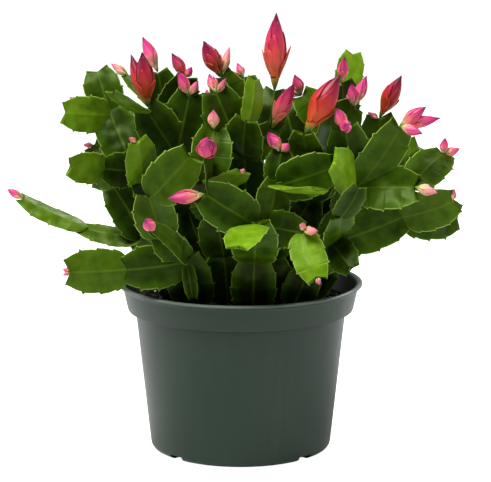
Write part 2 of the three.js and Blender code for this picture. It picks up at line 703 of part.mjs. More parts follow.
// Grows one segment from a joint, if a clear place for it turns up, and names its far joint.
function growOne(shoot, number) {
  const start = jointPoint.get(shoot.joint);
  for (let attempt = 0; attempt < GROWTH.tries; attempt += 1) {
    const climb = radians(GROWTH.climb[shoot.level] + spread(GROWTH.climbSpread));
    const heading = radians(shoot.heading + spread(GROWTH.swing[shoot.level]));
    const length = GROWTH.length[0] + GROWTH.length[1] * random();
    const turn = spread(GROWTH.turnSpread);
    const way = vec(Math.cos(climb) * Math.cos(heading), Math.cos(climb) * Math.sin(heading),
      Math.sin(climb));
    const end = start.clone().addScaledVector(way, length);
    const outwards = vec(start.x + end.x, start.y + end.y, 0).normalize();
    const name = `${shoot.stem} ${number}`;
    const spec = {
      stem: shoot.stem, from: start, to: end, turn, width: 1, grown: true,
      youth: 0.05 + 0.18 * shoot.level * random(),
      carrierWay: jointWay.get(shoot.joint) ?? UP,
      facing: outwards.dot(way) > 0.85 ? UP : outwards, joints: [shoot.joint, name],
    };
    const segment = inCrown(end) ? clearSegment(spec, [0], [1], true) : null;
    if (segment) {
      segments.push(segment);
      jointPoint.set(name, end);
      jointWay.set(name, way);
      return { ...shoot, joint: name, heading: (heading * 180) / Math.PI, level: shoot.level + 1 };
    }
  }
  return null;
}

function growAll(shoots) {
  for (let i = 0; i < shoots.length && segments.length < GROWTH.most; i += 1) {
    const children = GROWTH.children[shoots[i].level - 1] ?? 1;
    for (let child = 0; child < children; child += 1) {
      const next = growOne(shoots[i], segments.length);
      if (next && next.level < GROWTH.climb.length) shoots.push(next);
    }
  }
}

// Buds stand on the highest of the grown tips, and lean out from the middle of the plant.
function growBuds() {
  const { most, lowest, aside, length, girth, lean } = GROWTH.buds;
  const tips = segments.filter((segment) => segment.grown && segment.to.z > lowest
    && Math.abs(segment.to.x) < aside
    && !segments.some((other) => other.joints[0] === segment.joints[1]));
  tips.sort((a, b) => b.to.z - a.to.z);
  const last = buds.length + most;
  for (let i = 0; i < tips.length && buds.length < last; i += 1) {
    const { to, joints } = tips[i];
    const size = length[0] + length[1] * random();
    const thick = girth[0] + girth[1] * random();
    const away = vec(to.x, to.y, 0).normalize().multiplyScalar(lean * random());
    const way = away.add(UP).normalize().multiplyScalar(size);
    placeBud(joints[1], way, thick, undefined, false);
  }
}

growAll(GROWTH.roots.map(([stem, x, y]) => {
  jointPoint.set(stem, vec(x, y, SOIL.top + ROOT.rise));
  return { stem, joint: stem, level: 0, heading: (Math.atan2(y, x) * 180) / Math.PI };
}));
growBuds();

// ---------------------------------------------------------------- meshes of the plant

function rootSolid(stem) {
  const { x, y } = jointPoint.get(stem);
  const geometry = new THREE.CylinderGeometry(
    ROOT.radius * 0.8, ROOT.radius, ROOT.depth + ROOT.rise, ROOT.sides);
  geometry.rotateX(Math.PI / 2);
  geometry.translate(x, y, SOIL.top + (ROOT.rise - ROOT.depth) / 2);
  return solidFromGeometry(geometry);
}

const stemNames = [...Object.keys(STEMS), ...GROWTH.roots.map(([stem]) => stem)];
const rootOf = (stem) => STEMS[stem]?.root ?? GROWTH.roots.find(([name]) => name === stem).slice(1);
stemNames.forEach((stem) => jointPoint.set(stem, vec(...rootOf(stem), SOIL.top)));

const STEM_COLOURS = { old: 0x24420c, young: 0x86ac20 };

function makeStems() {
  stemNames.forEach((stem) => {
    const own = segments.filter((segment) => segment.stem === stem);
    const solid = fuse([rootSolid(stem), ...own.map(segmentSolid)]);
    const youth = own.reduce((sum, segment) => sum + segment.youth, 0) / own.length;
    const colour = new THREE.Color(STEM_COLOURS.old).lerp(new THREE.Color(STEM_COLOURS.young), youth);
    addMesh(stem, geometryFromSolid(solid), colour, 0.4);
  });
}

// Buds that share a joint grow from one small knob.
function knobSolid(joint) {
  const geometry = new THREE.OctahedronGeometry(KNOB.radius, 0);
  geometry.translate(...knobPoint.get(joint).toArray());
  return solidFromGeometry(geometry);
}

function makeBuds() {
  [...new Set(buds.map((bud) => bud.joint))].forEach((joint) => {
    const own = buds.filter((bud) => bud.joint === joint);
    const knob = own.length > 1 ? [knobSolid(joint)] : [];
    const touching = fuse([...own.map(budSolid), ...knob]);
    addMesh(`bud_${joint}`.replace(/ /g, '_'), geometryFromSolid(touching), 0xc8324a, 0.35);
  });
}

// ---------------------------------------------------------------- soil

// The soil fills the pot up to a bumpy top, a little clear of the wall, round the roots.
const SOIL_RINGS = [56, 38, 20];
const insideRadius = (row) => (POT_INSIDE[row][0] * Math.cos(Math.PI / POT.sides)) - SOIL.wallGap;

function soilHeight(x, y) {
  return SOIL.top + SOIL.rise * 0.5
    * (Math.sin(x * 0.21 + 1) * Math.cos(y * 0.17) + Math.sin(x * 0.09 - y * 0.13));
}

function makeSoil() {
  const edge = insideRadius(2) + ((SOIL.top - POT.bandFootHeight) * (POT.bandTop - POT.bandFoot))
    / (POT.height - POT.bandFootHeight);
  const rows = [
    [0, POT.floor + SOIL.bottomGap],
    [insideRadius(6) - 0.6, POT.floor + SOIL.bottomGap],
    [insideRadius(5), 5.4],
    [insideRadius(4), 93.2],
    [insideRadius(3), 95.9],
    [insideRadius(2) - 0.3, POT.bandFootHeight + 1],
    [edge, SOIL.top],
    ...SOIL_RINGS.map((radius) => [radius, SOIL.top]),
    [0, SOIL.top],
  ];
  const geometry = new THREE.LatheGeometry(toProfile(rows), POT.sides);
  geometry.rotateX(Math.PI / 2);
  const places = geometry.attributes.position;
  for (let i = 0; i < places.count; i += 1) {
    const [x, y, z] = [places.getX(i), places.getY(i), places.getZ(i)];
    if (z === SOIL.top && Math.hypot(x, y) < 66) places.setZ(i, soilHeight(x, y));
  }
  let soil = solidFromGeometry(geometry);
  stemNames.forEach((stem) => {
    const [x, y] = rootOf(stem);
    const hole = new THREE.CylinderGeometry(ROOT.hole, ROOT.hole, 2 * (ROOT.depth + 0.4), ROOT.sides);
    hole.rotateX(Math.PI / 2);
    hole.translate(x, y, SOIL.top);
    soil = soil.subtract(solidFromGeometry(hole));
  });
  addMesh('soil', geometryFromSolid(soil), 0x2a201a, 0.95);
}

makePot();
makeSoil();
makeStems();
makeBuds();

export default part;
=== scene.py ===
import math

import bpy
import numpy as np
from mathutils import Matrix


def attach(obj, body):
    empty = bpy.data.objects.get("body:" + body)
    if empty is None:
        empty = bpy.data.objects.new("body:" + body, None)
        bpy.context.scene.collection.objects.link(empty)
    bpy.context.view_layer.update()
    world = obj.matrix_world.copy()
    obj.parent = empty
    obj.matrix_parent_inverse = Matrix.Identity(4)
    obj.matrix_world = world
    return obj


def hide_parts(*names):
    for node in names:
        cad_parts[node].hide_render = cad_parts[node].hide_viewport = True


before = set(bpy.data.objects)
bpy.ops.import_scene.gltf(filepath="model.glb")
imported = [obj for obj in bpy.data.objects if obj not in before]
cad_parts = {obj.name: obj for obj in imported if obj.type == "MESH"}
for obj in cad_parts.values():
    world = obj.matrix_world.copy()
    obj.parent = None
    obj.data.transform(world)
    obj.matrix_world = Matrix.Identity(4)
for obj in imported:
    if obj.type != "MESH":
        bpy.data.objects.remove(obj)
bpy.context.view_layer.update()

# ---------------------------------------------------------------- camera
# The view is that of a long lens 1.45 m in front of the pot and about 0.42 m up, tipped down a
# little so that the soil just shows over the lip.
camera_data = bpy.data.cameras.new("camera")
camera_data.sensor_fit = "HORIZONTAL"
camera_data.sensor_width = 36
camera_data.lens = 160.26
camera_data.clip_end = 60
camera = bpy.data.objects.new("camera", camera_data)
camera.location = (0.0033, -1.45, 0.4164)
camera.rotation_euler = (math.pi / 2 - 0.1874, 0, 0)
bpy.context.collection.objects.link(camera)
bpy.context.scene.camera = camera

# ---------------------------------------------------------------- nursery pot
# The pot is one injection-moulded piece of dark green polypropylene: a tapered body, a wider band
# and a rolled lip. Four drain notches are cut into the edge of its foot.


def linear(colour):
    channels = [int(colour[i:i + 2], 16) / 255 for i in (1, 3, 5)]
    return [c / 12.92 if c <= 0.04045 else ((c + 0.055) / 1.055) ** 2.4 for c in channels] + [1]


def set_inputs(node, inputs):
    """Gives inputs their values, or links them to a socket or to the result of another node."""
    for key, value in inputs.items():
        if isinstance(value, bpy.types.Node):
            value = next(output for output in value.outputs if output.enabled)
        if isinstance(value, bpy.types.NodeSocket):
            node.id_data.links.new(value, node.inputs[key])
        else:
            node.inputs[key].default_value = value


def add_node(tree, kind, inputs=None, stops=(), **settings):
    """Adds a node with its settings, its inputs and the stops of a colour ramp."""
    node = tree.nodes.new(kind if "Node" in kind else "ShaderNode" + kind)
    for name, value in settings.items():
        setattr(node, name, value)
    set_inputs(node, inputs or {})
    for i, (position, colour) in enumerate(stops):
        element = node.color_ramp.elements[i] if i < 2 else node.color_ramp.elements.new(position)
        element.position = position
        element.color = linear(colour)
    return node


def new_material(name):
    material = bpy.data.materials.new(name)
    material.use_nodes = True
    return material, material.node_tree, material.node_tree.nodes["Principled BSDF"]


def add_piece(name, points, faces, material, smooth=True, attributes=None):
    mesh = bpy.data.meshes.new(name)
    mesh.from_pydata(np.asarray(points).tolist(), [], faces)
    for key, values in (attributes or {}).items():
        mesh.attributes.new(key, "FLOAT", "POINT").data.foreach_set("value", values)
    if material:
        mesh.materials.append(material)
    mesh.polygons.foreach_set("use_smooth", [smooth] * len(mesh.polygons))
    mesh.update()
    piece = bpy.data.objects.new(name, mesh)
    bpy.context.collection.objects.link(piece)
    return piece


def ring_faces(rings, sides):
    """The faces between a foot point, so many rings of points and a top point, in that order."""
    faces, top = [], 1 + (rings - 1) * sides
    for k in range(sides):
        following = (k + 1) % sides
        faces.append((0, 1 + following, 1 + k))
        for here in range(1, top, sides):
            above = here + sides
            faces.append((here + k, here + following, above + following, above + k))
        faces.append((top + sides, top + k, top + following))
    return faces


def turned(rows, sides):
    """A closed form turned about Z, from (radius, height) rows with both ends on the axis."""
    angles = np.arange(sides) * 2 * math.pi / sides
    rings = [np.stack([r * np.cos(angles), r * np.sin(angles), np.full(sides, z)], 1)
             for r, z in rows[1:-1]]
    points = np.concatenate([[[0, 0, rows[0][1]]], *rings, [[0, 0, rows[-1][1]]]])
    return points, ring_faces(len(rings), sides)


def made_plain(piece):
    """Turns what a piece's modifiers make into its own mesh."""
    shape = bpy.data.meshes.new_from_object(piece.evaluated_get(bpy.context.evaluated_depsgraph_get()))
    piece.modifiers.clear()
    piece.data = shape


MM = 0.001
POT_ROWS = [
    (0, 0), (54.5, 0), (57.0, 0.0), (57.9, 0.25), (60.2, 1.3), (61.1, 2.6), (61.5, 4.5), (71.0, 93.0),
    (71.4, 94.4), (72.4, 95.2), (75.4, 95.5), (76.2, 95.9), (76.6, 96.8), (79.4, 109.8), (79.8, 111.0),
    (80.6, 111.8), (81.9, 112.2), (82.4, 112.7), (82.5, 113.3), (82.3, 113.9), (81.7, 114.2),
    (79.6, 114.2), (78.7, 113.6), (78.3, 112.6), (78.1, 111.4), (75.3, 97.2), (74.6, 96.0),
    (71.0, 95.2), (69.9, 94.2), (69.6, 93.0), (60.1, 5.2), (59.0, 2.9), (57.2, 2.0), (0, 2.0),
]
pot_green, tree, shader = new_material("moulded polypropylene, dark green")
place = add_node(tree, "TexCoord").outputs["Object"]
# Streaks of dried water and scuffs run down the wall, and a mould grain of about 0.5 mm lies all over.
streaks = add_node(tree, "Mapping", {"Vector": place, "Scale": (90, 90, 9)})
dust = add_node(tree, "TexNoise", {"Vector": streaks, "Scale": 1, "Detail": 5, "Roughness": 0.6})
grain = add_node(tree, "TexNoise", {"Vector": place, "Scale": 2000, "Detail": 2})
bump = add_node(tree, "Bump", {"Height": grain, "Strength": 0.12, "Distance": 0.0003})
rough = add_node(tree, "MapRange", {"Value": dust, "To Min": 0.28, "To Max": 0.44})
colour = add_node(tree, "ValToRGB", {"Fac": dust},
                  stops=[(0.3, "#172f21"), (0.55, "#193224"), (0.8, "#1f3929")])
# The top of the rolled lip is painted pale as a highlight, a painted shadow lies under the band, and painted
# shade darkens the inner wall above the mix.
height = add_node(tree, "SeparateXYZ", {"Vector": place}).outputs["Z"]
# Painted highlight: the top of the rolled lip is painted pale.
painted_lip_highlight = add_node(tree, "MapRange", {"Value": height, "From Min": 0.1124, "From Max": 0.1137, "To Max": 0.45})
# Painted shadow: a dark line is painted just under the band.
under = add_node(tree, "Math", {0: height, 1: 0.0952}, operation="LESS_THAN")
painted_band_shadow = add_node(tree, "MapRange", {"Value": height, "From Min": 0.0915, "From Max": 0.0945, "To Max": 0.75})
painted_band_shadow = add_node(tree, "Math", {0: painted_band_shadow, 1: under}, operation="MULTIPLY")
# The wall is 1.3 mm thick there, so the edge of the painted shade lies between its two skins at each height.
flat = add_node(tree, "VectorMath", {0: place, 1: (1, 1, 0)}, operation="MULTIPLY")
radius = add_node(tree, "VectorMath", {0: flat}, operation="LENGTH")
middle = add_node(tree, "MapRange", {"Value": height, "From Min": 0.0972, "From Max": 0.1114,
                                     "To Min": 0.0759, "To Max": 0.0787})
inside = add_node(tree, "Math", {0: radius, 1: middle}, operation="LESS_THAN")
ragged = add_node(tree, "TexNoise", {"Vector": place, "Scale": 160, "Detail": 4})
line = add_node(tree, "MapRange", {"Value": ragged, "From Min": 0.4, "From Max": 0.6,
                                   "To Min": 0.1062, "To Max": 0.1124})
below = add_node(tree, "Math", {0: height, 1: line}, operation="LESS_THAN")
raised = add_node(tree, "Math", {0: height, 1: 0.0967}, operation="GREATER_THAN")
# Painted shade: the inner wall is painted near black from the mix up to the ragged line.
peat = add_node(tree, "Math", {0: inside, 1: below}, operation="MULTIPLY")
peat = add_node(tree, "Math", {0: peat, 1: raised}, operation="MULTIPLY")
# The painted highlight, painted shadow and painted shade are laid over the pot's own colour.
for share, painted_tone in ((painted_lip_highlight, "#98a49a"), (painted_band_shadow, "#0c1410"), (peat, "#0d0a07")):
    colour = add_node(tree, "Mix", {0: share, 6: colour, 7: linear(painted_tone)}, data_type="RGBA")
set_inputs(shader, {"Base Color": colour, "Roughness": rough, "Normal": bump, "IOR": 1.49,
                    "Specular IOR Level": 0.38})

points, faces = turned(POT_ROWS, 144)
pot = add_piece("nursery_pot", points * MM, faces, pot_green)
corners, sides = [], []
for i in range(4):
    angle = (i + 0.5) * math.pi / 2
    outwards = np.array([math.cos(angle), math.sin(angle), 0])
    beside = np.array([-math.sin(angle), math.cos(angle), 0])
    sides += [[len(corners) + c for c in face] for face in
              ((0, 1, 3, 2), (4, 6, 7, 5), (0, 4, 5, 1), (2, 3, 7, 6), (0, 2, 6, 4), (1, 5, 7, 3))]
    corners += [(outwards * r + beside * s + [0, 0, z]) * MM
                for z in (-3.5, 3.5) for r in (52.5, 70.5) for s in (-5.5, 5.5)]
cutter = add_piece("notches", corners, sides, None, False)
cut = pot.modifiers.new("notches", "BOOLEAN")
cut.operation = "DIFFERENCE"
cut.object = cutter
cut.solver = "EXACT"
made_plain(pot)
bpy.data.objects.remove(cutter)
pot.data.set_sharp_from_angle(angle=math.radians(35))
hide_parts("pot")
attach(pot, "root")

# ---------------------------------------------------------------- potting mix
# The pot is filled with dark peat mix to about 14 mm under its lip. Its top is bumpy, with crumbs
# of peat and bark and white grains of perlite lying in it.
MIX_TOP = 100.0
MIX_EDGE = 74.6


def mix_height(x, y):
    """The height of the mix, in millimetres: low swells with finer lumps on them."""
    swell = np.sin(x * 0.21 + 1) * np.cos(y * 0.17) + np.sin(x * 0.09 - y * 0.13)
    lumps = np.sin(x * 0.83 + 2 * np.sin(y * 0.61)) * np.sin(y * 0.93 + 1.7 * np.cos(x * 0.71))
    return MIX_TOP + 0.8 * swell + 0.5 * lumps + 0.25 * np.sin(2.3 * x + 1.3 * y) * np.sin(1.9 * y - x)


mix_dark, tree, shader = new_material("peat potting mix, damp")
place = add_node(tree, "TexCoord").outputs["Object"]
# Peat fibres and pores of 1 to 3 mm, nearly black in their hollows.
fibres = add_node(tree, "TexNoise", {"Vector": place, "Scale": 420, "Detail": 6, "Roughness": 0.7})
pores = add_node(tree, "TexVoronoi", {"Vector": place, "Scale": 520})
colour = add_node(tree, "ValToRGB", {"Fac": fibres},
                  stops=[(0.3, "#060403"), (0.5, "#0e0a07"), (0.66, "#1a120d"), (0.8, "#30241c")])
bump = add_node(tree, "Bump", {"Height": pores, "Strength": 0.6, "Distance": 0.0012})
set_inputs(shader, {"Base Color": colour, "Normal": bump, "Roughness": 0.9, "Specular IOR Level": 0.2})

mix_rows = [(0, 2.3), (56.3, 2.3), (58.6, 5.4), (67.9, 93.2), (69.0, 95.9), (73.6, 97.6),
            (MIX_EDGE, MIX_TOP)]
mix_rows += [(MIX_EDGE * (1 - i / 60), MIX_TOP) for i in range(1, 60)] + [(0, MIX_TOP)]
points, faces = turned(mix_rows, 120)
top = points[:, 2] == MIX_TOP
inwards = np.clip((MIX_EDGE - np.hypot(points[:, 0], points[:, 1])) / 4, 0, 1)
points[top, 2] += ((mix_height(points[:, 0], points[:, 1]) - MIX_TOP) * inwards)[top]
mix = add_piece("potting_mix", points * MM, faces, mix_dark)
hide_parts("soil")
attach(mix, "root")

crumb_brown, tree, shader = new_material("crumbs of peat and bark")
place = add_node(tree, "TexCoord").outputs["Object"]
# Each crumb of 1 to 5 mm has its own shade of brown, from patches of about its own size.
patches = add_node(tree, "TexNoise", {"Vector": place, "Scale": 190, "Detail": 3})
colour = add_node(tree, "ValToRGB", {"Fac": patches},
                  stops=[(0.35, "#070504"), (0.52, "#110c08"), (0.7, "#2c2016")])
bump = add_node(tree, "Bump", {"Height": patches, "Strength": 0.5, "Distance": 0.001})
set_inputs(shader, {"Base Color": colour, "Normal": bump, "Roughness": 0.85, "Specular IOR Level": 0.2})
perlite_white, tree, shader = new_material("perlite, expanded volcanic glass")
place = add_node(tree, "TexCoord").outputs["Object"]
# The grains are pitted like foam, in pits of about 0.7 mm.
pits = add_node(tree, "TexVoronoi", {"Vector": place, "Scale": 1500})
colour = add_node(tree, "ValToRGB", {"Fac": pits}, stops=[(0.0, "#9a948a"), (0.45, "#e4e0d8")])
bump = add_node(tree, "Bump", {"Height": pits, "Strength": 0.5, "Distance": 0.0005})
set_inputs(shader, {"Base Color": colour, "Normal": bump, "Roughness": 0.8})


def new_growth_tree(name, carrier, sizes, made):
    """A Geometry Nodes tree with a carrier and sizes as its inputs, and those inputs' sockets."""
    tree = bpy.data.node_groups.new(name, "GeometryNodeTree")
    tree.interface.new_socket(carrier, in_out="INPUT", socket_type="NodeSocketGeometry")
    for label, value in sizes.items():
        kind = "NodeSocketInt" if isinstance(value, int) else "NodeSocketFloat"
        tree.interface.new_socket(label, in_out="INPUT", socket_type=kind).default_value = value
    tree.interface.new_socket(made, in_out="OUTPUT", socket_type="NodeSocketGeometry")
    return tree, add_node(tree, "NodeGroupInput").outputs


def scatter_tree(name, material, flatness):
    """Lumps strewn on a surface: count per square metre, radius in metres and seed are its inputs."""
    tree, given = new_growth_tree(name, "Surface", {"Density": 1000.0, "Smallest": 0.001,
                                                    "Largest": 0.002, "Seed": 1}, "Lumps")
    spread = add_node(tree, "GeometryNodeDistributePointsOnFaces",
                      {"Mesh": given["Surface"], "Density": given["Density"], "Seed": given["Seed"]})
    lump = add_node(tree, "GeometryNodeMeshIcoSphere", {"Radius": 1.0, "Subdivisions": 1})
    size = add_node(tree, "FunctionNodeRandomValue", {2: given["Smallest"], 3: given["Largest"],
                                                     "Seed": given["Seed"]}, data_type="FLOAT")
    squeeze = add_node(tree, "FunctionNodeRandomValue",
                       {0: (0.6, 0.6, 0.4 * flatness), 1: (1.3, 1.0, flatness), "Seed": 5},
                       data_type="FLOAT_VECTOR")
    scale = add_node(tree, "VectorMath", {0: squeeze, "Scale": size}, operation="SCALE")
    turn = add_node(tree, "FunctionNodeRandomValue", {0: (-0.5, -0.5, 0), 1: (0.5, 0.5, 6.28), "Seed": 9},
                    data_type="FLOAT_VECTOR")
    placed = add_node(tree, "GeometryNodeInstanceOnPoints",
                      {"Points": spread, "Instance": lump, "Rotation": turn, "Scale": scale})
    real = add_node(tree, "GeometryNodeRealizeInstances", {"Geometry": placed})
    rough = add_node(tree, "TexNoise", {"Scale": 700, "Detail": 1}).outputs["Color"]
    shift = add_node(tree, "VectorMath", {0: rough, 1: (0.5, 0.5, 0.5)}, operation="SUBTRACT")
    small = add_node(tree, "VectorMath", {0: shift, "Scale": 0.0016}, operation="SCALE")
    moved = add_node(tree, "GeometryNodeSetPosition", {"Geometry": real, "Offset": small})
    painted = add_node(tree, "GeometryNodeSetMaterial", {"Geometry": moved, "Material": material})
    add_node(tree, "NodeGroupOutput", {"Lumps": painted})
    return tree


def scatter(name, points, faces, tree, inputs):
    carrier = add_piece(name, points, faces, None, False)
    modifier = carrier.modifiers.new(name, "NODES")
    modifier.node_group = tree
    keys = {item.name: item.identifier for item in tree.interface.items_tree if item.in_out == "INPUT"}
    for label, value in inputs.items():
        modifier[keys[label]] = value
    made_plain(carrier)
    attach(carrier, "root")


# Crumbs lie on the open mix only, so the strewn surface stops short of the wall.
CELL = 4.0
corner = {}
strewn_faces = []
for x in np.arange(-70, 71, CELL):
    for y in np.arange(-70, 71, CELL):
        keys = [(x + dx, y + dy) for dx, dy in ((0, 0), (CELL, 0), (CELL, CELL), (0, CELL))]
        if all(math.hypot(*key) < 72 for key in keys):
            strewn_faces.append([corner.setdefault(key, len(corner)) for key in keys])
strewn = [(x * MM, y * MM, float(mix_height(x, y)) * MM) for x, y in corner]
scatter("peat_crumbs", strewn, strewn_faces, scatter_tree("crumbs", crumb_brown, 1.0),
        {"Density": 90000.0, "Smallest": 0.0007, "Largest": 0.0024, "Seed": 4})
scatter("perlite_grains", strewn, strewn_faces, scatter_tree("perlite", perlite_white, 0.9),
        {"Density": 16000.0, "Smallest": 0.0006, "Largest": 0.0015, "Seed": 11})

# ---------------------------------------------------------------- how the plant stands
# Schlumbergera grows as chains of flat segments, each from the tip of the last. The front chains
# stand on listed joints and the rear ones grow by a seeded rule, as in the solid model, and every
# segment is turned until it is clear of its neighbours. Lengths here are in millimetres.
FRONT_ROOTS = {
    "stem_west": (-40, -17), "stem_reach": (-30, -40), "stem_bib": (8, -48), "stem_chin": (20, -30),
    "stem_finger": (-8, -28), "stem_skirt": (34, -42), "stem_east": (42, -8),
    "stem_peak_west": (-18, -10), "stem_peak": (4, -12), "stem_peak_east": (22, 2),
}
REAR_ROOTS = {
    "stem_rear_1": (-44, 14), "stem_rear_2": (-26, 34), "stem_rear_3": (2, 44), "stem_rear_4": (30, 34),
    "stem_rear_5": (48, 14), "stem_rear_6": (-10, 14), "stem_rear_7": (18, 22),
}
# A row: joint, the joint or root it grows from, x, y, z, turn of the flat face in degrees, youth 0-1,
# and for a narrow segment its share of the usual width.
JOINTS = [
    ("west1", "stem_west", -70, -35, 197, 0, 0.25), ("west2", "west1", -88, -58, 200, 10, 0.3),
    ("west3", "west2", -108, -76, 204, 0, 0.8, 0.92), ("west4", "west1", -96, -18, 209, 30, 0.1),
    ("west5", "west1", -86, -20, 232, 0, 0.1), ("west6", "west5", -114, -34, 233, 0, 0.82),
    ("west7", "west5", -94, -12, 257, 0, 0.5, 1.1), ("west8", "west1", -97, -20, 187, 0, 0.6, 0.8),
    ("reach1", "stem_reach", -35, -58, 141, 0, 0.2), ("reach2", "reach1", -73, -64, 135, 0, 0.3),
    ("reach3", "reach2", -110, -62, 133, 0, 0.66), ("reach4", "reach1", -54, -92, 166, 60, 0.65, 0.5),
    ("reach5", "reach1", -66, -42, 152, 20, 0.2), ("reach6", "reach5", -83, -40, 184, 0, 0.15),
    ("reach7", "reach5", -103, -36, 157, -125, 0.6, 0.6),
    ("reach8", "reach7", -142, -30, 175, -120, 0.75, 0.6),
    ("reach9", "reach1", -31, -62, 116, 0, 0.3, 0.5), ("apron1", "reach1", -52, -66, 157, 0, 0.2),
    ("apron2", "apron1", -65, -62, 193, 55, 0.5), ("apron3", "apron2", -65, -88, 221, 35, 0.86, 0.8),
    ("apron4", "apron1", -58, -82, 186, 0, 0.3), ("apron5", "apron4", -32, -88, 212, 0, 0.45),
    ("bib0", "stem_bib", 9, -62, 140, 0, 0.1), ("bib1", "bib0", 10, -98, 172, 0, 0.2),
    ("bib2", "bib1", -21, -106, 191, 0, 0.2), ("bib3", "bib1", -1, -126, 161, 0, 0.95),
    ("chin1", "stem_chin", 18, -66, 166, 0, 0.2), ("chin2", "chin1", 40, -88, 164, 0, 0.35),
    ("chin3", "chin2", 48, -104, 138, 0, 0.86, 0.88), ("chin4", "chin1", 23, -70, 193, 0, 0.15),
    ("chin5", "chin4", 47, -98, 194, 70, 0.95), ("chin6", "chin4", 26, -64, 211, 0, 0.1),
    ("chin7", "chin4", 58, -68, 202, 0, 0.15), ("finger1", "stem_finger", -21, -82, 195, 0, 0.2),
    ("finger2", "finger1", -22, -98, 214, 75, 0.6), ("finger3", "finger1", 0, -98, 204, 50, 0.85),
    ("finger4", "finger1", -17, -70, 226, 0, 0.25), ("skirt1", "stem_skirt", 62, -58, 153, 0, 0.2),
    ("skirt2", "skirt1", 107, -40, 166, 0, 0.25), ("skirt3", "skirt2", 137, -56, 178, 10, 0.6),
    ("skirt4", "skirt2", 143, -18, 161, 0, 0.25), ("skirt5", "skirt1", 62, -82, 173, 40, 0.3),
    ("skirt6", "skirt5", 74, -86, 192, 30, 0.3), ("skirt7", "skirt1", 71, -80, 139, 0, 0.2),
    ("east0", "stem_east", 60, -18, 146, 0, 0.1), ("east1", "east0", 75, -48, 187, 0, 0.2),
    ("east2", "east1", 112, -58, 187, 0, 0.3), ("east3", "east2", 132, -36, 205, 0, 0.1),
    ("east4", "east1", 59, -84, 208, 45, 1.0), ("east5", "east1", 101, -62, 227, 25, 0.35),
    ("east9", "east1", 67, -66, 226, 0, 0.3), ("east6", "east0", 96, -8, 190, 0, 0.2),
    ("east7", "east6", 117, -24, 209, 0, 0.8), ("east8", "east6", 91, -26, 228, 0, 0.15),
    ("peakw0", "stem_peak_west", -34, -20, 165, 0, 0.1), ("peakw1", "peakw0", -42, -40, 208, 0, 0.1),
    ("peakw2", "peakw1", -60, -48, 237, 0, 0.2), ("peakw3", "peakw2", -80, -70, 251, -50, 0.7, 0.55),
    ("peakw4", "peakw1", -33, -46, 245, 0, 0.15), ("peakw5", "peakw0", -49, -8, 230, 0, 0.1),
    ("peakw6", "peakw5", -54, -18, 257, 0, 0.15), ("peakw7", "peakw5", -74, 12, 251, 40, 0.3, 0.6),
    ("peakw8", "peakw5", -36, -24, 254, 20, 0.2), ("peak0", "stem_peak", 3, -24, 172, 0, 0.1),
    ("peak1", "peak0", 3, -56, 207, 0, 0.15), ("peak2", "peak1", 4, -76, 233, 0, 0.35),
    ("peak3", "peak2", 8, -64, 257, 40, 0.85, 0.8), ("peak4", "peak1", -15, -58, 248, 0, 0.4),
    ("peak5", "peak0", 0, -14, 219, 0, 0.1), ("peak6", "peak5", -13, -20, 254, 30, 0.4),
    ("peak8", "peak5", 2, 12, 250, 10, 0.3), ("peak9", "peak1", 20, -56, 225, 0, 0.2),
    ("peak7", "peak9", 22, -44, 248, 0, 0.15), ("peake0", "stem_peak_east", 46, -12, 172, 0, 0.1),
    ("peake1", "peake0", 47, -44, 203, 0, 0.1), ("peake2", "peake1", 41, -70, 224, -40, 0.2),
    ("peake4", "peake1", 58, -36, 234, 60, 0.6), ("peake5", "peake0", 65, -6, 218, 0, 0.1),
    ("peake6", "peake5", 74, -30, 236, 0, 0.1), ("peake7", "peake5", 75, 12, 266, 0, 0.86, 0.85),
    ("peake8", "peake5", 41, -4, 240, 20, 0.6), ("peake9", "peake5", 66, -22, 250, 30, 0.3),
    ("peake3", "peake0", 30, 10, 232, 0, 0.1),
]
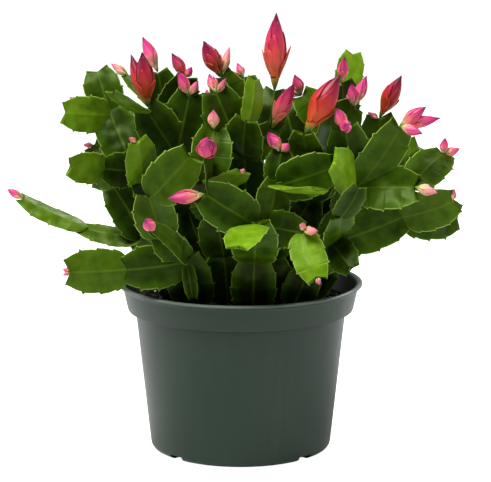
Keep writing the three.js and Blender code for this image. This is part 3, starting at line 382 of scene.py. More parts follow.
# A row: joint, the way to the bud's tip, girth, its seat if not the usual one, ripeness 0-1.
BUDS = [
    ("peakw6", -10, -2, 24, 8.5, None, 0.5), ("peakw2", -3, -8, 37, 12, 1.2, 1.0),
    ("peakw2", -11, 8, 34, 9, 1.2, 1.0), ("west5", -28, 18, 7, 8, 0.7, 0.6),
    ("peakw7", -13, -4, 7, 6, 0.8, 0.15), ("peakw4", -7, -8, 17, 7, None, 0.55),
    ("peakw4", 6, -8, 11, 5, None, 0.3), ("peakw8", -9, -4, 17, 7.5, 0.7, 0.85),
    ("peakw8", 4, -6, 8, 5, 0.7, 0.45), ("peak6", -11, -6, 25, 10.5, None, 0.95),
    ("peak6", 6, 4, 20, 6, None, 0.1), ("peak8", -9, -4, 6, 5.5, None, 0.5),
    ("peak4", -5, 8, 12, 6.5, None, 0.7), ("finger4", 0, -6, 14, 7, None, 0.15),
    ("finger2", 3, -24, 13, 11, None, 0.7), ("bib2", -24, -6, -2, 8.5, None, 0.7),
    ("reach4", -4, -15, 6, 7.5, None, 0.45), ("reach8", -11, -2, 7, 6, None, 0.55),
    ("peak7", 1, -4, 51, 13.5, None, 0.95), ("peake8", -5, -4, 15, 7, None, 0.7),
    ("peake8", -13, -4, 5, 5, None, 0.4), ("peak9", 14, -12, 31, 9.5, 1.2, 0.85),
    ("peake2", 22.5, 1, 38, 16, None, 1.0), ("peake9", 2, -8, 19, 7, None, 0.65),
    ("peake6", -5, -6, 17, 7.5, None, 0.5), ("peake6", 8, -2, 21, 7.5, None, 0.5),
    ("east9", -6, -8, 15, 7.5, None, 0.45), ("east9", 0, -16, 6, 7, None, 0.5),
    ("east8", 14, -6, 29, 10.5, None, 1.0), ("east5", 17, -6, 14, 8.5, None, 0.65),
    ("east5", 27, -2, -2, 7, 1.4, 0.6), ("east5", 14, -14, -3, 6.5, 1.4, 0.5),
    ("east3", 1, -3, 12, 6, 0.6, 0.5), ("east3", 11, -2, 4, 6, 0.6, 0.4),
    ("east2", 14, -12, -2, 6.5, None, 0.05), ("chin6", -10, -8, 12, 7.5, 0.8, 0.5),
    ("chin6", 5, -6, 6, 5.5, 0.8, 0.4), ("chin2", 9, -12, 2, 5.5, 2.3, 0.1),
    ("chin2", 0, -9, 7, 4, 2.3, 0.1),
]
# One side of a plate's plain margin. A row: half width as a share of the plate's, station along it.
MARGIN = np.array([(0.13, 0), (0.5, 0.08), (0.87, 0.22), (1.03, 0.47), (0.94, 0.52), (0.94, 0.74),
                   (0.79, 0.78), (0.5, 1.0), (0.3, 0.945)])
# A segment's half thickness, its usual length, how deep it sinks into the last, and how it bends.
THICK, SPAN, SINK, CUP, BOW = 1.5, 34, 2.8, 0.8, 0.05
# What doesn't touch keeps this gap, and a little more at a margin.
GAP, MARGIN_GAP = 0.7, 0.8
# Pieces further apart than this aren't tested, and a plate's middle layer keeps this clear of others.
FAR_APART, LEAST_LIFT = 16, 2.4
# The joint lies at this station, in the notch of the tip, and a stem's foot ends at this height.
TIP_STATION = 0.9
STEM_FOOT = 106.0
FRONT = np.array([0.0, -1.0, 0.0])
UP = np.array([0.0, 0.0, 1.0])
# The turns tried one after another, in degrees, and where on a plate it is tested.
TURNS = (0, 12, -12, 24, -24, 36, -36, 50, -50, 65, -65, 90)
STATIONS = (0.08, 0.2, 0.32, 0.44, 0.56, 0.68, 0.8, 0.92, 1.02)
SIDES = (-1, -0.67, -0.33, 0, 0.33, 0.67, 1)
PROBE_HALF = np.array([THICK * (1 - abs(side)) for _ in STATIONS for side in SIDES])


def unit(vector):
    return vector * (1 / math.sqrt(vector @ vector))


def margin_at(station):
    return np.interp(station, MARGIN[:8, 1], MARGIN[:8, 0])


def surface_point(segment, station, side, lift=0):
    """A point of the bent plate; side runs from -1 to 1 across its half width."""
    station, side, lift = (np.asarray(value, float)[..., None] for value in (station, side, lift))
    rise = 4 * segment["bow"] * station * (1 - station) + CUP * side * side + lift
    return (segment["from"] + segment["along"] * station * segment["length"]
            + segment["across"] * side * segment["half"] + segment["face"] * rise)


PROBE_STATIONS = np.array([station for station in STATIONS for _ in SIDES])
PROBE_SIDES = np.array([side * margin_at(station) for station in STATIONS for side in SIDES])


def make_segment(spec, turn, width_share):
    start = spec["from"] - spec["carrier_way"] * SINK
    along = unit(spec["to"] - start)
    out = unit(spec["facing"] - along * (spec["facing"] @ along))
    across = np.cross(along, out)
    angle = math.radians(turn)
    face = out * math.cos(angle) + across * math.sin(angle)
    length = math.dist(spec["to"], start) / TIP_STATION
    segment = {**spec, "from": start, "along": along, "face": face, "across": np.cross(along, face),
               "length": length, "half": min(max(0.345 * length, 9.5), 15) * width_share * spec["width"],
               "bow": BOW * length, "middle": (spec["from"] + spec["to"]) / 2}
    segment["probes"] = surface_point(segment, PROBE_STATIONS, PROBE_SIDES)
    return segment


def fouls(segment, points, halves, least=LEAST_LIFT):
    """Which balls of these half sizes foul the segment."""
    away = points - segment["from"]
    station = away @ segment["along"] / segment["length"]
    slack = (halves + MARGIN_GAP) / segment["length"]
    side = away @ segment["across"] / segment["half"]
    margin = margin_at(station)
    rise = 4 * segment["bow"] * station * (1 - station) + CUP * side * side
    flesh = THICK * np.maximum(0, 1 - np.abs(side) / margin)
    lift = np.abs(away @ segment["face"] - rise)
    return ((station >= -slack) & (station <= 1 + slack)
            & (np.abs(side) <= margin + (halves * 0.6 + MARGIN_GAP) / segment["half"])
            & (lift < np.maximum(least, flesh + halves + GAP)))


def near(a, b):
    return math.dist(a["middle"], b["middle"]) < (a["length"] + b["length"]) * 0.5 + FAR_APART


def segments_clash(a, b):
    if any(joint in b["joints"] for joint in a["joints"]) or not near(a, b):
        return False
    return fouls(b, a["probes"], PROBE_HALF).any() or fouls(a, b["probes"], PROBE_HALF).any()


def bud_fouls_segment(bud, segment):
    if bud["joint"] in segment["joints"] or not near(bud, segment):
        return False
    return fouls(segment, bud["balls"], bud["radii"]).any()


def buds_clash(a, b):
    if not near(a, b) or a["joint"] == b["joint"]:
        return False
    apart = np.linalg.norm(a["balls"][:, None] - b["balls"][None], axis=2)
    return (apart < a["radii"][:, None] + b["radii"][None] + GAP).any()


segments, buds, specs = [], [], []
joint_point = {stem: np.array([*root, STEM_FOOT]) for stem, root in {**FRONT_ROOTS, **REAR_ROOTS}.items()}
joint_way, stem_of = {}, {stem: stem for stem in FRONT_ROOTS}


def clear_segment(spec, turns, widths, own_stem_too):
    for width_share in widths:
        for turn in turns:
            segment = make_segment(spec, spec["turn"] + turn, width_share)
            if not (any((own_stem_too or other["stem"] != spec["stem"]) and segments_clash(segment, other)
                        for other in segments) or any(bud_fouls_segment(bud, segment) for bud in buds)):
                return segment
    return None


def place_named(spec):
    turns = TURNS if spec["hidden"] else TURNS[:7]
    widths = (1, 0.85, 0.7, 0.55) if spec["hidden"] else (1, 0.87, 0.74)
    segments.append(clear_segment(spec, turns, widths, True) or clear_segment(spec, turns, widths, False)
                    or make_segment(spec, spec["turn"], 1))


for name, parent, x, y, z, turn, youth, *narrow in JOINTS:
    in_soil = parent in FRONT_ROOTS
    stem_of[name] = stem_of[parent]
    way = joint_way.get(parent, UP)
    start = joint_point[parent]
    end = joint_point[name] = np.array([x, y, z], float)
    count = max(1, math.floor(math.dist(start, end) / SPAN + 0.5))
    knee = start + (end - start) * ((0.25, 0.25, 0.6) if in_soil else (0.5, 0.5, 0.5))
    curve = [(1 - t) ** 2 * start + 2 * (1 - t) * t * knee + t * t * end
             for t in (i / count for i in range(count + 1))]
    names = [parent, *(f"{name} way {i}" for i in range(1, count)), name]
    for i in range(count):
        spec = {"stem": stem_of[name], "from": curve[i], "to": curve[i + 1], "turn": turn, "youth": youth,
                "width": narrow[0] if narrow else 1, "carrier_way": way, "hidden": in_soil,
                "joints": (names[i], names[i + 1])}
        way = joint_way[name] = unit(curve[i + 1] - curve[i])
        spec["facing"] = UP if abs(way @ FRONT) > 0.85 else FRONT
        specs.append(spec)
for spec in specs:
    if not spec["hidden"]:
        place_named(spec)

# A row: share of a bud's length, and half width as a share of its girth. It starts above its seat,
# is tested as a row of balls, and leans over in steps until it is clear.
BUD_WIDTHS = np.array([(0, 0.06), (0.12, 0.2), (0.22, 0.27), (0.34, 0.4), (0.5, 0.5), (0.68, 0.45),
                       (0.86, 0.24), (1, 0)])
BUD_SEAT = 0.4
BALLS = np.array([0.06, 0.15, 0.3, 0.45, 0.6, 0.75, 0.95])
BUD_LEANS = (0, 0.15, 0.3, 0.45, 0.6, 0.75)


def make_bud(joint, seat, way, girth):
    along = unit(way)
    start = seat + along * BUD_SEAT
    length = math.sqrt(way @ way) - BUD_SEAT
    across = unit(np.cross(along, UP if abs(along[1]) > 0.8 else FRONT))
    return {"joint": joint, "girth": girth, "from": start, "along": along, "across": across,
            "face": np.cross(along, across), "length": length, "middle": start + along * (length / 2),
            "balls": start + along * (BALLS * length)[:, None],
            "radii": girth * np.interp(BALLS, BUD_WIDTHS[:, 0], BUD_WIDTHS[:, 1])}


def fouls_own(segment, joint, point, radius):
    """A bud stands in the notch at its carrier's tip, so there only the notch's corners count."""
    station = (point - segment["from"]) @ segment["along"] / segment["length"]
    if segment["joints"][1] != joint or station < TIP_STATION:
        return fouls(segment, point[None], np.array([radius - GAP]), 0).any()
    return any(math.dist(surface_point(segment, notch, hand * side), point) < radius + 0.4
               for side, notch in MARGIN[-2:] for hand in (-1, 1))


def bud_blocked(bud):
    for segment in segments:
        if bud["joint"] in segment["joints"]:
            first = 0 if segment["joints"][1] == bud["joint"] else 2
            if any(fouls_own(segment, bud["joint"], bud["balls"][i], bud["radii"][i])
                   for i in range(first, len(BALLS))):
                return True
    return (any(bud_fouls_segment(bud, segment) for segment in segments)
            or any(buds_clash(bud, other) for other in buds))


def place_bud(joint, way, girth, own_seat, must_place, ripeness):
    carrier = next(segment for segment in segments if segment["joints"][1] == joint)
    child = next((segment for segment in segments if segment["joints"][0] == joint), None)
    lean_to = child["face"] * np.sign(child["face"] @ way) if child else carrier["along"]
    seat = joint_point[joint] + lean_to * (own_seat or (1.7 if child else BUD_SEAT))
    straight = unit(way)
    for lean in BUD_LEANS:
        leaned = unit(straight + (lean_to - straight) * lean) * math.sqrt(way @ way)
        bud = make_bud(joint, seat, leaned, girth)
        if not bud_blocked(bud):
            break
    else:
        if not must_place:
            return
        bud = make_bud(joint, seat, way, girth)
    buds.append({**bud, "ripeness": ripeness})


for joint, dx, dy, dz, girth, own_seat, ripeness in BUDS:
    place_bud(joint, np.array([dx, dy, dz], float), girth, own_seat, True, ripeness)
for spec in specs:
    if spec["hidden"]:
        place_named(spec)

# For each level of a rear chain: its climb and its swing in degrees, and the shoots it bears.
CLIMB = (84, 72, 58, 44, 24)
SWING = (60, 80, 110, 130, 140)
CHILDREN = (2, 2, 2, 1, 0)
MOST_SEGMENTS = 130
GROWING_TRIES = 30
# The crown of the rear chains: its half sizes, and the height of its middle.
CROWN, CROWN_MIDDLE = (122, 108, 112), 140
chance = 3


def random():
    """The next number, from 0 to 1, of a fixed row of random ones."""
    global chance
    chance = (chance * 1664525 + 1013904223) & 0xFFFFFFFF
    return chance / 4294967296


def spread(width):
    return (random() - 0.5) * width


def in_crown(point):
    """Whether a point is inside the crown, which is narrower low down, and clear of the pot's lip."""
    x, y, z = point
    if 62 < math.hypot(x, y) < 96 and z < 128 or abs(x) > 60 + 0.36 * (z - 100):
        return False
    return (x / CROWN[0]) ** 2 + (y / CROWN[1]) ** 2 + ((z - CROWN_MIDDLE) / CROWN[2]) ** 2 < 1


def grow_one(shoot, number):
    start = joint_point[shoot["joint"]]
    for _ in range(GROWING_TRIES):
        climb = math.radians(CLIMB[shoot["level"]] + spread(24))
        heading = math.radians(shoot["heading"] + spread(SWING[shoot["level"]]))
        length = 34 + 11 * random()
        turn = spread(100)
        way = np.array([math.cos(climb) * math.cos(heading), math.cos(climb) * math.sin(heading),
                        math.sin(climb)])
        end = start + way * length
        outwards = unit(np.array([start[0] + end[0], start[1] + end[1], 0.0]))
        name = f"{shoot['stem']} {number}"
        spec = {"stem": shoot["stem"], "from": start, "to": end, "turn": turn, "width": 1, "grown": True,
                "youth": 0.05 + 0.18 * shoot["level"] * random(),
                "carrier_way": joint_way.get(shoot["joint"], UP),
                "facing": UP if outwards @ way > 0.85 else outwards, "joints": (shoot["joint"], name)}
        segment = clear_segment(spec, (0,), (1,), True) if in_crown(end) else None
        if segment:
            segments.append(segment)
            joint_point[name] = end
            joint_way[name] = way
            return {**shoot, "joint": name, "heading": math.degrees(heading), "level": shoot["level"] + 1}
    return None


shoots = [{"stem": stem, "joint": stem, "level": 0, "heading": math.degrees(math.atan2(y, x))}
          for stem, (x, y) in REAR_ROOTS.items()]
for shoot in shoots:
    if len(segments) >= MOST_SEGMENTS:
        break
    for _ in range(CHILDREN[shoot["level"] - 1] if shoot["level"] else 1):
        following = grow_one(shoot, len(segments))
        if following and following["level"] < len(CLIMB):
            shoots.append(following)

# The highest bare tips near the middle bear the rear buds.
LOWEST_TIP, WIDEST_TIP, REAR_BUDS = 205, 55, 7
carrying = {segment["joints"][0] for segment in segments}
tips = [segment for segment in segments
        if segment.get("grown") and segment["to"][2] > LOWEST_TIP and abs(segment["to"][0]) < WIDEST_TIP
        and segment["joints"][1] not in carrying]
most_buds = len(buds) + REAR_BUDS
for tip in sorted(tips, key=lambda segment: -segment["to"][2]):
    if len(buds) >= most_buds:
        break
    size = 16 + 10 * random()
    girth = 6.4 + 1.6 * random()
    away = unit(np.array([tip["to"][0], tip["to"][1], 0.0])) * (0.8 * random())
    place_bud(tip["joints"][1], unit(away + UP) * size, girth, None, False, 0.5 + 0.05 * (girth - 6.4))

# ---------------------------------------------------------------- stem segments
# A segment is a leathery, succulent joint of stem, about 35 mm long, thick along its midrib and thin
# at its toothed margin, with a waxy skin. Old ones are dark green, new ones a clear yellow green.
# A row: half width as a share of the plate's, and station along it, on the way round one side.
OUTLINE = np.array([
    (0.0, 0.0), (0.07, -0.004), (0.12, 0.0), (0.20, 0.008), (0.34, 0.026), (0.49, 0.05), (0.63, 0.08),
    (0.75, 0.117), (0.84, 0.155), (0.90, 0.2), (0.95, 0.236), (0.885, 0.252), (0.92, 0.285),
    (0.965, 0.325), (0.992, 0.37), (1.005, 0.41), (1.015, 0.446), (1.06, 0.476), (0.96, 0.492),
    (0.96, 0.515), (0.975, 0.56), (0.975, 0.61), (0.965, 0.655), (0.945, 0.705), (0.98, 0.742),
    (0.87, 0.757), (0.855, 0.78), (0.82, 0.815), (0.765, 0.855), (0.70, 0.895), (0.62, 0.938), (0.55, 1.0),
    (0.465, 0.955), (0.37, 0.942), (0.28, 0.929), (0.18, 0.919), (0.08, 0.912), (0.0, 0.911)])
# The outline's rows at its teeth, and the shares of its half width where a plate has points.
TEETH = [10, 17, 24, 31]
ACROSS = np.array([0, 0.05, 0.1, 0.2, 0.34, 0.5, 0.66, 0.8, 0.9, 0.96, 1.0])


def plate_mesh(segment, dice):
    """One segment as a closed form whose two faces meet at the margin, and how far each point lies
    from the midrib (0) to the margin (1)."""
    outline = OUTLINE.copy()
    outline[TEETH, 0] *= 1 + dice.uniform(-0.02, 0.05, 4)
    wave = dice.uniform(0, 6.28, 2)
    fold = dice.uniform(-0.1, 0.45)
    last = len(outline) - 1
    # Inside the margin the rows are evened out, so that a tooth leaves no crease across the plate.
    ribs = [min(outline[max(row - 2, 0):row + 3, 1].mean(), 0.86 + 0.051 * row / last)
            for row in range(last + 1)]
    ribs[0], ribs[last] = outline[0, 1], outline[last, 1]
    index, points, edge, faces = {}, [], [], []
    for hand in (-1, 1):
        for layer in (1, -1):
            for row, (side, station) in enumerate(outline):
                for column, t in enumerate(ACROSS):
                    at_end = row in (0, last)
                    shared = ((row,) if at_end else (row, column, 0 if column == 0 else hand,
                                                     0 if t == 1 else layer))
                    if shared not in index:
                        index[shared] = len(points)
                        v = ribs[row] + (station - ribs[row]) * t
                        flesh = 0.75 + 0.85 * math.sin(math.pi * min(max(v, 0), 1) ** 0.8)
                        half = (flesh * (1 - t) ** 0.8 + 0.32 * (1 - t ** 6)
                                + 0.22 * math.exp(-(t / 0.07) ** 2))
                        lift = 0 if at_end or t == 1 else layer * half
                        lift += fold * t + 0.38 * t * t * math.sin(8 * v + wave[int(hand > 0)])
                        points.append((v, hand * side * t, lift))
                        edge.append(t)
                    index[hand, layer, row, column] = index[shared]
            for row in range(last):
                for column in range(len(ACROSS) - 1):
                    face = list(dict.fromkeys(index[hand, layer, row + i, column + j]
                                              for i, j in ((0, 0), (1, 0), (1, 1), (0, 1))))
                    if len(face) > 2:
                        faces.append(face[::-1] if hand == layer else face)
    return surface_point(segment, *np.array(points).T), faces, edge


stem_skin, tree, shader = new_material("succulent stem skin, waxy")
edge = add_node(tree, "Attribute", attribute_name="edge").outputs["Fac"]
youth = add_node(tree, "Attribute", attribute_name="youth").outputs["Fac"]
tint = add_node(tree, "Attribute", attribute_name="tint").outputs["Fac"]
place = add_node(tree, "TexCoord").outputs["Object"]
# Soft mottling of 5 to 10 mm, and skin cells drawn at about 0.5 mm so that they show.
mottle = add_node(tree, "TexNoise", {"Vector": place, "Scale": 130, "Detail": 3})
cells = add_node(tree, "TexVoronoi", {"Vector": place, "Scale": 2000})
# The tint shifts each plate's old green; the low tints of the rear and lowest plates stand partly for older
# skin and partly for painted shade.
shade = add_node(tree, "Math", {0: mottle, 1: tint}, operation="ADD")
shade = add_node(tree, "Math", {0: shade, 1: 0.5}, operation="MULTIPLY")
old = add_node(tree, "ValToRGB", {"Fac": shade},
               stops=[(0.2, "#091000"), (0.5, "#203501"), (0.78, "#415e04")])
new = add_node(tree, "ValToRGB", {"Fac": mottle}, stops=[(0.3, "#6f9c0c"), (0.7, "#94c028")])
ageing = add_node(tree, "Math", {0: youth, 1: 4}, operation="POWER")
flesh = add_node(tree, "Mix", {0: ageing, 6: old, 7: new}, data_type="RGBA")
# Towards the margin the skin turns yellower, and the very edge is a thin pale line, as the midrib is.
outer = add_node(tree, "MapRange", {"Value": edge, "From Min": 0.45, "From Max": 0.95, "To Max": 0.3},
                 interpolation_type="SMOOTHSTEP")
# The pale edge line is partly the margin's own colour and partly a painted highlight, and it is painted
# dimmer as shade where the tint is low.
pale = add_node(tree, "MapRange", {"Value": tint, "To Min": 0.12, "To Max": 0.9})
rim = add_node(tree, "MapRange", {"Value": edge, "From Min": 0.945, "From Max": 0.985, "To Max": pale})
rib = add_node(tree, "MapRange", {"Value": edge, "From Min": 0.08, "From Max": 0.0, "To Max": 0.3})
for share, tone in ((outer, "#4f7a0a"), (rim, "#bcd868"), (rib, "#6a9020")):
    flesh = add_node(tree, "Mix", {0: share, 6: flesh, 7: linear(tone)}, data_type="RGBA")
bump = add_node(tree, "Bump", {"Height": cells, "Strength": 0.12, "Distance": 0.0003})
# The halves are folded along the midrib, some up and some down, and the flesh swells over 15 mm.
lean = add_node(tree, "Math", {0: tint, 1: 0.3}, operation="SUBTRACT")
fold = add_node(tree, "Math", {0: edge, 1: lean}, operation="MULTIPLY")
bump = add_node(tree, "Bump", {"Height": fold, "Strength": 1.0, "Distance": 0.006, "Normal": bump})
broad = add_node(tree, "TexNoise", {"Vector": place, "Scale": 65, "Detail": 1})
bump = add_node(tree, "Bump", {"Height": broad, "Strength": 0.8, "Distance": 0.005, "Normal": bump})
gloss = add_node(tree, "MapRange", {"Value": mottle, "To Min": 0.26, "To Max": 0.5})
set_inputs(shader, {"Base Color": flesh, "Normal": bump, "Roughness": gloss, "IOR": 1.42,
                    "Specular IOR Level": 0.3, "Specular Tint": linear("#dcff9c"),
                    "Subsurface Weight": 0.12, "Subsurface Scale": 0.002,
                    "Subsurface Radius": (0.5, 1.0, 0.2)})


def add_joined(name, shapes, material):
    """One piece from shapes, each with its points in millimetres, faces and values by attribute."""
    points = np.concatenate([shape[0] for shape in shapes]) * MM
    faces, start = [], 0
    for shape in shapes:
        faces += [[start + i for i in face] for face in shape[1]]
        start += len(shape[0])
    attributes = {key: np.concatenate([np.broadcast_to(shape[2][key], len(shape[0])) for shape in shapes])
                  for key in shapes[0][2]}
    return add_piece(name, points, faces, material, attributes=attributes)


# Each stem stands in its hole on a round, woody foot. A row: radius, height.
WOODY_ROWS = [(0, 88.4), (2.4, 88.4), (3.1, 92), (3.1, 101), (2.9, 104), (2.2, 105.6), (0, 106)]
dice = np.random.RandomState(12)
for stem, root in {**FRONT_ROOTS, **REAR_ROOTS}.items():
    points, faces = turned(WOODY_ROWS, 16)
    shapes = [(points + [*root, 0], faces, {"edge": 0.5, "youth": 0.0, "tint": 0.3})]
    for segment in (segment for segment in segments if segment["stem"] == stem):
        points, faces, edge = plate_mesh(segment, dice)
        # Rear and lowest segments get low tints: partly their older skin, partly painted shade inside the
        # crown.
        tints = (0.0, 0.3) if segment.get("grown") or segment["hidden"] else (0.15, 0.9)
        shapes.append((points, faces, {"edge": edge, "youth": segment["youth"],
                                       "tint": dice.uniform(*tints)}))
    piece = add_joined(f"{stem}_segments", shapes, stem_skin)
    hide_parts(stem)
    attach(piece, "root")

# Areoles, tufts of brown wool with short bristles, sit in the notch under each tooth and at each tip.
tuft_brown, tree, shader = new_material("areole wool, brown")
set_inputs(shader, {"Base Color": linear("#8c6a34"), "Roughness": 0.9})


def tuft_tree(material):
    """A tuft at every point given: a round cushion with three bristles."""
    tree, given = new_growth_tree("areole tufts", "Places", {"Smallest": 0.0003, "Largest": 0.0006,
                                                             "Seed": 1}, "Tufts")
    cushion = add_node(tree, "GeometryNodeMeshIcoSphere", {"Radius": 1.0, "Subdivisions": 1})
    tuft = add_node(tree, "GeometryNodeJoinGeometry", {0: cushion})
    for tilt, heading in ((0.5, 0), (0.4, 2.1), (0.6, 4.2)):
        bristle = add_node(tree, "GeometryNodeMeshCone", {"Vertices": 4, "Radius Top": 0.0,
                                                          "Radius Bottom": 0.16, "Depth": 3.0})
        set_inputs(tuft, {0: add_node(tree, "GeometryNodeTransform",
                                      {"Geometry": bristle, "Rotation": (tilt, 0, heading)})})
    size = add_node(tree, "FunctionNodeRandomValue", {2: given["Smallest"], 3: given["Largest"],
                                                     "Seed": given["Seed"]}, data_type="FLOAT")
    turn = add_node(tree, "FunctionNodeRandomValue", {0: (-0.8, -0.8, 0), 1: (0.8, 0.8, 6.28), "Seed": 3},
                    data_type="FLOAT_VECTOR")
    placed = add_node(tree, "GeometryNodeInstanceOnPoints",
                      {"Points": given["Places"], "Instance": tuft, "Rotation": turn, "Scale": size})
    real = add_node(tree, "GeometryNodeRealizeInstances", {"Geometry": placed})
    painted = add_node(tree, "GeometryNodeSetMaterial", {"Geometry": real, "Material": material})
    add_node(tree, "NodeGroupOutput", {"Tufts": painted})
    return tree


NOTCHES = [11, 18, 25, 35]
spots = [surface_point(segment, station, hand * 0.98 * side) * MM
         for segment in segments for side, station in OUTLINE[NOTCHES] for hand in (-1, 1)]
scatter("areoles", spots, [], tuft_tree(tuft_brown), {"Seed": 6})

# ---------------------------------------------------------------- flower buds
# A bud is a green neck, the ovary, and layers of tepals rolled into a point, each layer reaching
# further than the last. It opens from below: ripe buds have the tips of their outer tepals free.
# A row: share of the bud's length from its seat, and half width as a share of its girth.
BUD_FORM = np.array([(0, 0.0), (0.01, 0.05), (0.05, 0.1), (0.1, 0.16), (0.16, 0.21), (0.22, 0.24),
                     (0.28, 0.31), (0.34, 0.385), (0.42, 0.46), (0.5, 0.49), (0.58, 0.47), (0.66, 0.425),
                     (0.74, 0.355), (0.82, 0.265), (0.9, 0.155), (0.95, 0.085), (0.985, 0.035), (1, 0.0)])


def bud_point(bud, share, angle, half):
    share, angle, half = (np.asarray(value, float)[..., None] for value in (share, angle, half))
    return (bud["from"] + bud["along"] * share * bud["length"]
            + half * (bud["across"] * np.cos(angle) + bud["face"] * np.sin(angle)))


def bud_half(share):
    return np.interp(share, BUD_FORM[:, 0], BUD_FORM[:, 1])


def bud_core(bud, sides=20):
    """The rolled inner tepals and the neck, as one closed form with five soft ridges."""
    shares = BUD_FORM[1:-1, 0]
    angles = np.arange(sides) * 2 * math.pi / sides
    ridges = 1 + 0.05 * np.cos(5 * angles)
    rings = [bud_point(bud, np.full(sides, share), angles + 1.2 * share,
                       bud["girth"] * bud_half(share) * (ridges if share < 0.3 else 0.96))
             for share in shares]
    points = np.concatenate([[bud["from"]], *rings, [bud["from"] + bud["along"] * bud["length"]]])
    return points, ring_faces(len(rings), sides), [0.0, *np.repeat(shares, sides), 1.0], 0.0


def tepal(bud, foot, tip, angle, spread_angle, lift, flare):
    """A pointed tepal wrapped on the bud from its foot to its tip, which stands off by the flare."""
    rows, columns = 12, 7
    points, laps, index = [], [], {}
    for i in range(rows):
        v = i / (rows - 1)
        width = math.sin(math.pi * (0.16 + 0.84 * v) ** 0.85) ** 0.75 if v < 1 else 0
        share = foot + (tip - foot) * v
        for j in range(columns):
            u = 2 * j / (columns - 1) - 1
            for layer in (1, 0):
                if layer == 0 and (abs(u) == 1 or i in (0, rows - 1)):
                    index[i, j, 0] = index[i, j, 1]
                elif i == rows - 1 and j > 0:
                    index[i, j, layer] = index[i, 0, 1]
                else:
                    index[i, j, layer] = len(points)
                    thin = layer * 0.5 * (1 - u * u) * (1 - v ** 3)
                    stand = lift * min(1, 4 * v) * (1 - 0.35 * u * u) + flare * v ** 3
                    points.append((share, angle + u * spread_angle * width,
                                   bud["girth"] * bud_half(min(share, 0.97)) + stand + thin - 0.15))
                    laps.append(0.25 + u * (1 if v < 1 else 0))
    faces = []
    for i in range(rows - 1):
        for j in range(columns - 1):
            for layer in (1, 0):
                face = list(dict.fromkeys(index[i + down, j + over, layer]
                                          for down, over in ((0, 0), (0, 1), (1, 1), (1, 0))))
                if len(face) > 2:
                    faces.append(face if layer else face[::-1])
    placed = np.array(points).T
    return bud_point(bud, *placed), faces, placed[0], laps


bud_skin, tree, shader = new_material("tepals of a flower bud, satin")
ripeness = add_node(tree, "Attribute", attribute_name="ripeness").outputs["Fac"]
share = add_node(tree, "Attribute", attribute_name="share").outputs["Fac"]
place = add_node(tree, "TexCoord").outputs["Object"]
# Blotches of about 5 mm shift the colours along the bud, and fine veins of about 1 mm rough the skin.
blotch = add_node(tree, "TexNoise", {"Vector": place, "Scale": 220, "Detail": 3})
blotch = add_node(tree, "MapRange", {"Value": blotch, "To Min": -0.1, "To Max": 0.1})
share = add_node(tree, "Math", {0: share, 1: blotch}, operation="ADD")
# Ripe: green neck, orange foot, coral middle, magenta towards a dark tip. Unripe: green to pale peach.
ripe = add_node(tree, "ValToRGB", {"Fac": share},
                stops=[(0.08, "#466612"), (0.15, "#a87228"), (0.22, "#c0481a"), (0.5, "#a82a1e"),
                       (0.72, "#981a34"), (0.9, "#6c0a2a"), (1.0, "#1c030e")])
unripe = add_node(tree, "ValToRGB", {"Fac": share},
                  stops=[(0.14, "#7c9a3a"), (0.3, "#d9cf86"), (0.5, "#efb48e"), (0.8, "#e88f92"),
                         (1.0, "#d76a8a")])
half_ripe = add_node(tree, "ValToRGB", {"Fac": share},
                     stops=[(0.1, "#7c9a3a"), (0.2, "#ecd0a0"), (0.36, "#f09488"), (0.6, "#ec5484"),
                            (0.84, "#cc3480"), (1.0, "#541040")])
low = add_node(tree, "MapRange", {"Value": ripeness, "From Max": 0.5})
high = add_node(tree, "MapRange", {"Value": ripeness, "From Min": 0.5})
colour = add_node(tree, "Mix", {0: low, 6: unripe, 7: half_ripe}, data_type="RGBA")
colour = add_node(tree, "Mix", {0: high, 6: colour, 7: ripe}, data_type="RGBA")
# Every tepal is painted darker as shade where it tucks under the next, and painted lighter as a highlight
# towards its free margin.
lap = add_node(tree, "Attribute", attribute_name="lap").outputs["Fac"]
lit = add_node(tree, "MapRange", {"Value": lap, "From Min": -0.75, "From Max": 2.25,
                                  "To Min": 0.65, "To Max": 2.3})
colour = add_node(tree, "VectorMath", {0: colour, "Scale": lit}, operation="SCALE")
veins = add_node(tree, "TexNoise", {"Vector": place, "Scale": 900, "Detail": 2})
bump = add_node(tree, "Bump", {"Height": veins, "Strength": 0.15, "Distance": 0.0004})
set_inputs(shader, {"Base Color": colour, "Normal": bump, "Roughness": 0.36, "Specular IOR Level": 0.3,
                    "Subsurface Weight": 0.2, "Subsurface Scale": 0.003,
                    "Subsurface Radius": (1.0, 0.3, 0.2)})

# Rings of tepals, in rows: how many, foot, tip, half angle, lift, flare at the tip in millimetres.
LARGE_RINGS = [(3, 0.17, 0.52, 0.8, 0.8, 1.4), (3, 0.2, 0.74, 0.9, 0.55, 0.5), (3, 0.3, 0.93, 1.0, 0.3, 0.1)]
MIDDLE_RINGS = [(3, 0.17, 0.55, 0.85, 0.4, 0.3), (3, 0.24, 0.88, 1.0, 0.2, 0.0)]
SMALL_RINGS = [(4, 0.17, 0.62, 0.7, 0.25, 0.1)]
# A row: joint, angle round the bud in degrees, foot, tip, half angle, lift and flare in millimetres.
FREE_TEPALS = [
    ("peak7", 0, 0.2, 0.6, 0.6, 1.0, 3.4), ("peak7", 180, 0.2, 0.54, 0.55, 0.9, 1.6),
    ("peak7", 215, 0.25, 0.68, 0.5, 0.7, 1.4), ("peak7", 265, 0.18, 0.72, 0.6, 1.2, 0.5),
]
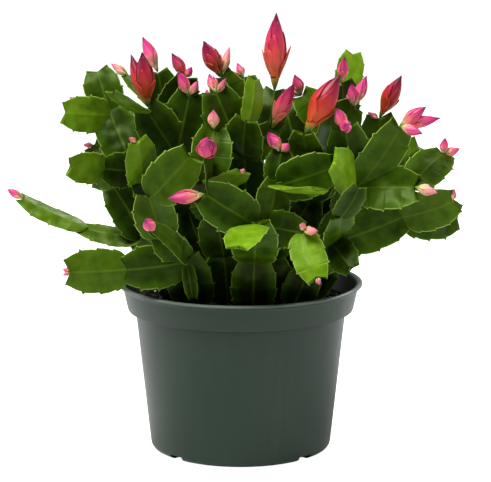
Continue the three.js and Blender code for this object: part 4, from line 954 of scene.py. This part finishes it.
# Buds only just showing stand on some tips. A row: joint, the way to the bud's tip, girth.
SMALL_BUDS = [
    ("west4", -8, -3, 1, 3.8), ("reach3", -5, -2, 2, 3.2), ("reach3", -5, -3, -2, 2.6),
    ("east8", -8, -5, 5, 3.8), ("skirt3", 1, -2, 9, 4), ("chin3", 2, -4, -4, 3.2),
    ("apron3", -5, -4, 4, 3.2), ("finger3", 3, -5, 2, 2.6), ("peak4", 6, -5, 11, 4.4),
]
# Some buds get more or less of the tepals' painted light all over, so they are lighter or darker than the
# rest.
LIGHTER = {"peak7": 0.95, "peake2": 0.35, "small": -0.4}
small = [{**make_bud(joint, joint_point[joint], np.array([x, y, z], float), girth), "joint": "small",
          "ripeness": 0.28} for joint, x, y, z, girth in SMALL_BUDS]
for joint in dict.fromkeys(bud["joint"] for bud in buds + small):
    shapes = []
    for bud in (bud for bud in buds + small if bud["joint"] == joint):
        first = dice.uniform(0, 6.28)
        parts = [bud_core(bud)]
        rings = LARGE_RINGS if bud["girth"] > 9 else MIDDLE_RINGS if bud["girth"] >= 6.2 else SMALL_RINGS
        for ring, (petals, foot, tip, half_angle, lift, flare) in enumerate(rings):
            for k in range(petals):
                angle = first + 0.6 * ring + 2 * math.pi * (k + dice.uniform(-0.12, 0.12)) / petals
                reach = tip + dice.uniform(-0.04, 0.04)
                parts.append(tepal(bud, foot, reach, angle, half_angle, lift, flare))
        for owner, degrees, foot, tip, half_angle, lift, flare in FREE_TEPALS:
            if owner == joint:
                parts.append(tepal(bud, foot, tip, math.radians(degrees), half_angle, lift, flare))
        shapes += [(points, faces, {"share": share, "lap": np.array(lap) + LIGHTER.get(joint, 0),
                                    "ripeness": bud["ripeness"]}) for points, faces, share, lap in parts]
    name = "bud_" + joint.replace(" ", "_")
    piece = add_joined(name + "_tepals", shapes, bud_skin)
    if joint != "small":
        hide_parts(name)
    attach(piece, "root")

# ---------------------------------------------------------------- floor and light
# The object stands on a plain pale floor, in soft light from above and from both sides.
floor_white, tree, shader = new_material("matt white board")
seen = add_node(tree, "LightPath").outputs["Is Camera Ray"]
glow = add_node(tree, "Math", {0: seen, 1: 0.96}, operation="MULTIPLY")
set_inputs(shader, {"Base Color": linear("#f4f4f2"), "Roughness": 0.9,
                    "Emission Color": linear("#ffffff"), "Emission Strength": glow})
floor = add_piece("floor", [(-9, -9, 0), (9, -9, 0), (9, 9, 0), (-9, 9, 0)], [(0, 1, 2, 3)],
                  floor_white, False)


def add_light(name, power, size, place, aim):
    light = bpy.data.lights.new(name, "AREA")
    light.energy = power
    light.size = size
    holder = bpy.data.objects.new(name, light)
    holder.location = place
    away = np.array(place, float) - np.array(aim, float)
    holder.rotation_euler = (math.atan2(math.hypot(away[0], away[1]), away[2]), 0,
                             math.atan2(away[1], away[0]) + math.pi / 2)
    bpy.context.collection.objects.link(holder)


add_light("key above", 27, 0.7, (-0.45, -0.55, 1.4), (0, 0, 0.15))
add_light("fill right", 3.2, 1.2, (1.5, -0.9, 0.7), (0, 0, 0.15))
add_light("back above", 14, 0.8, (0.5, 1.1, 1.2), (0, 0, 0.2))
add_light("side left", 4, 1.0, (-1.5, 0.5, 0.4), (0, 0, 0.12))
add_light("side right", 4, 1.0, (1.5, 0.5, 0.4), (0, 0, 0.12))
world = bpy.data.worlds.new("studio")
world.use_nodes = True
set_inputs(world.node_tree.nodes["Background"], {"Color": linear("#ffffff"), "Strength": 0.1})
bpy.context.scene.world = world
bpy.context.scene.view_settings.view_transform = "Standard"
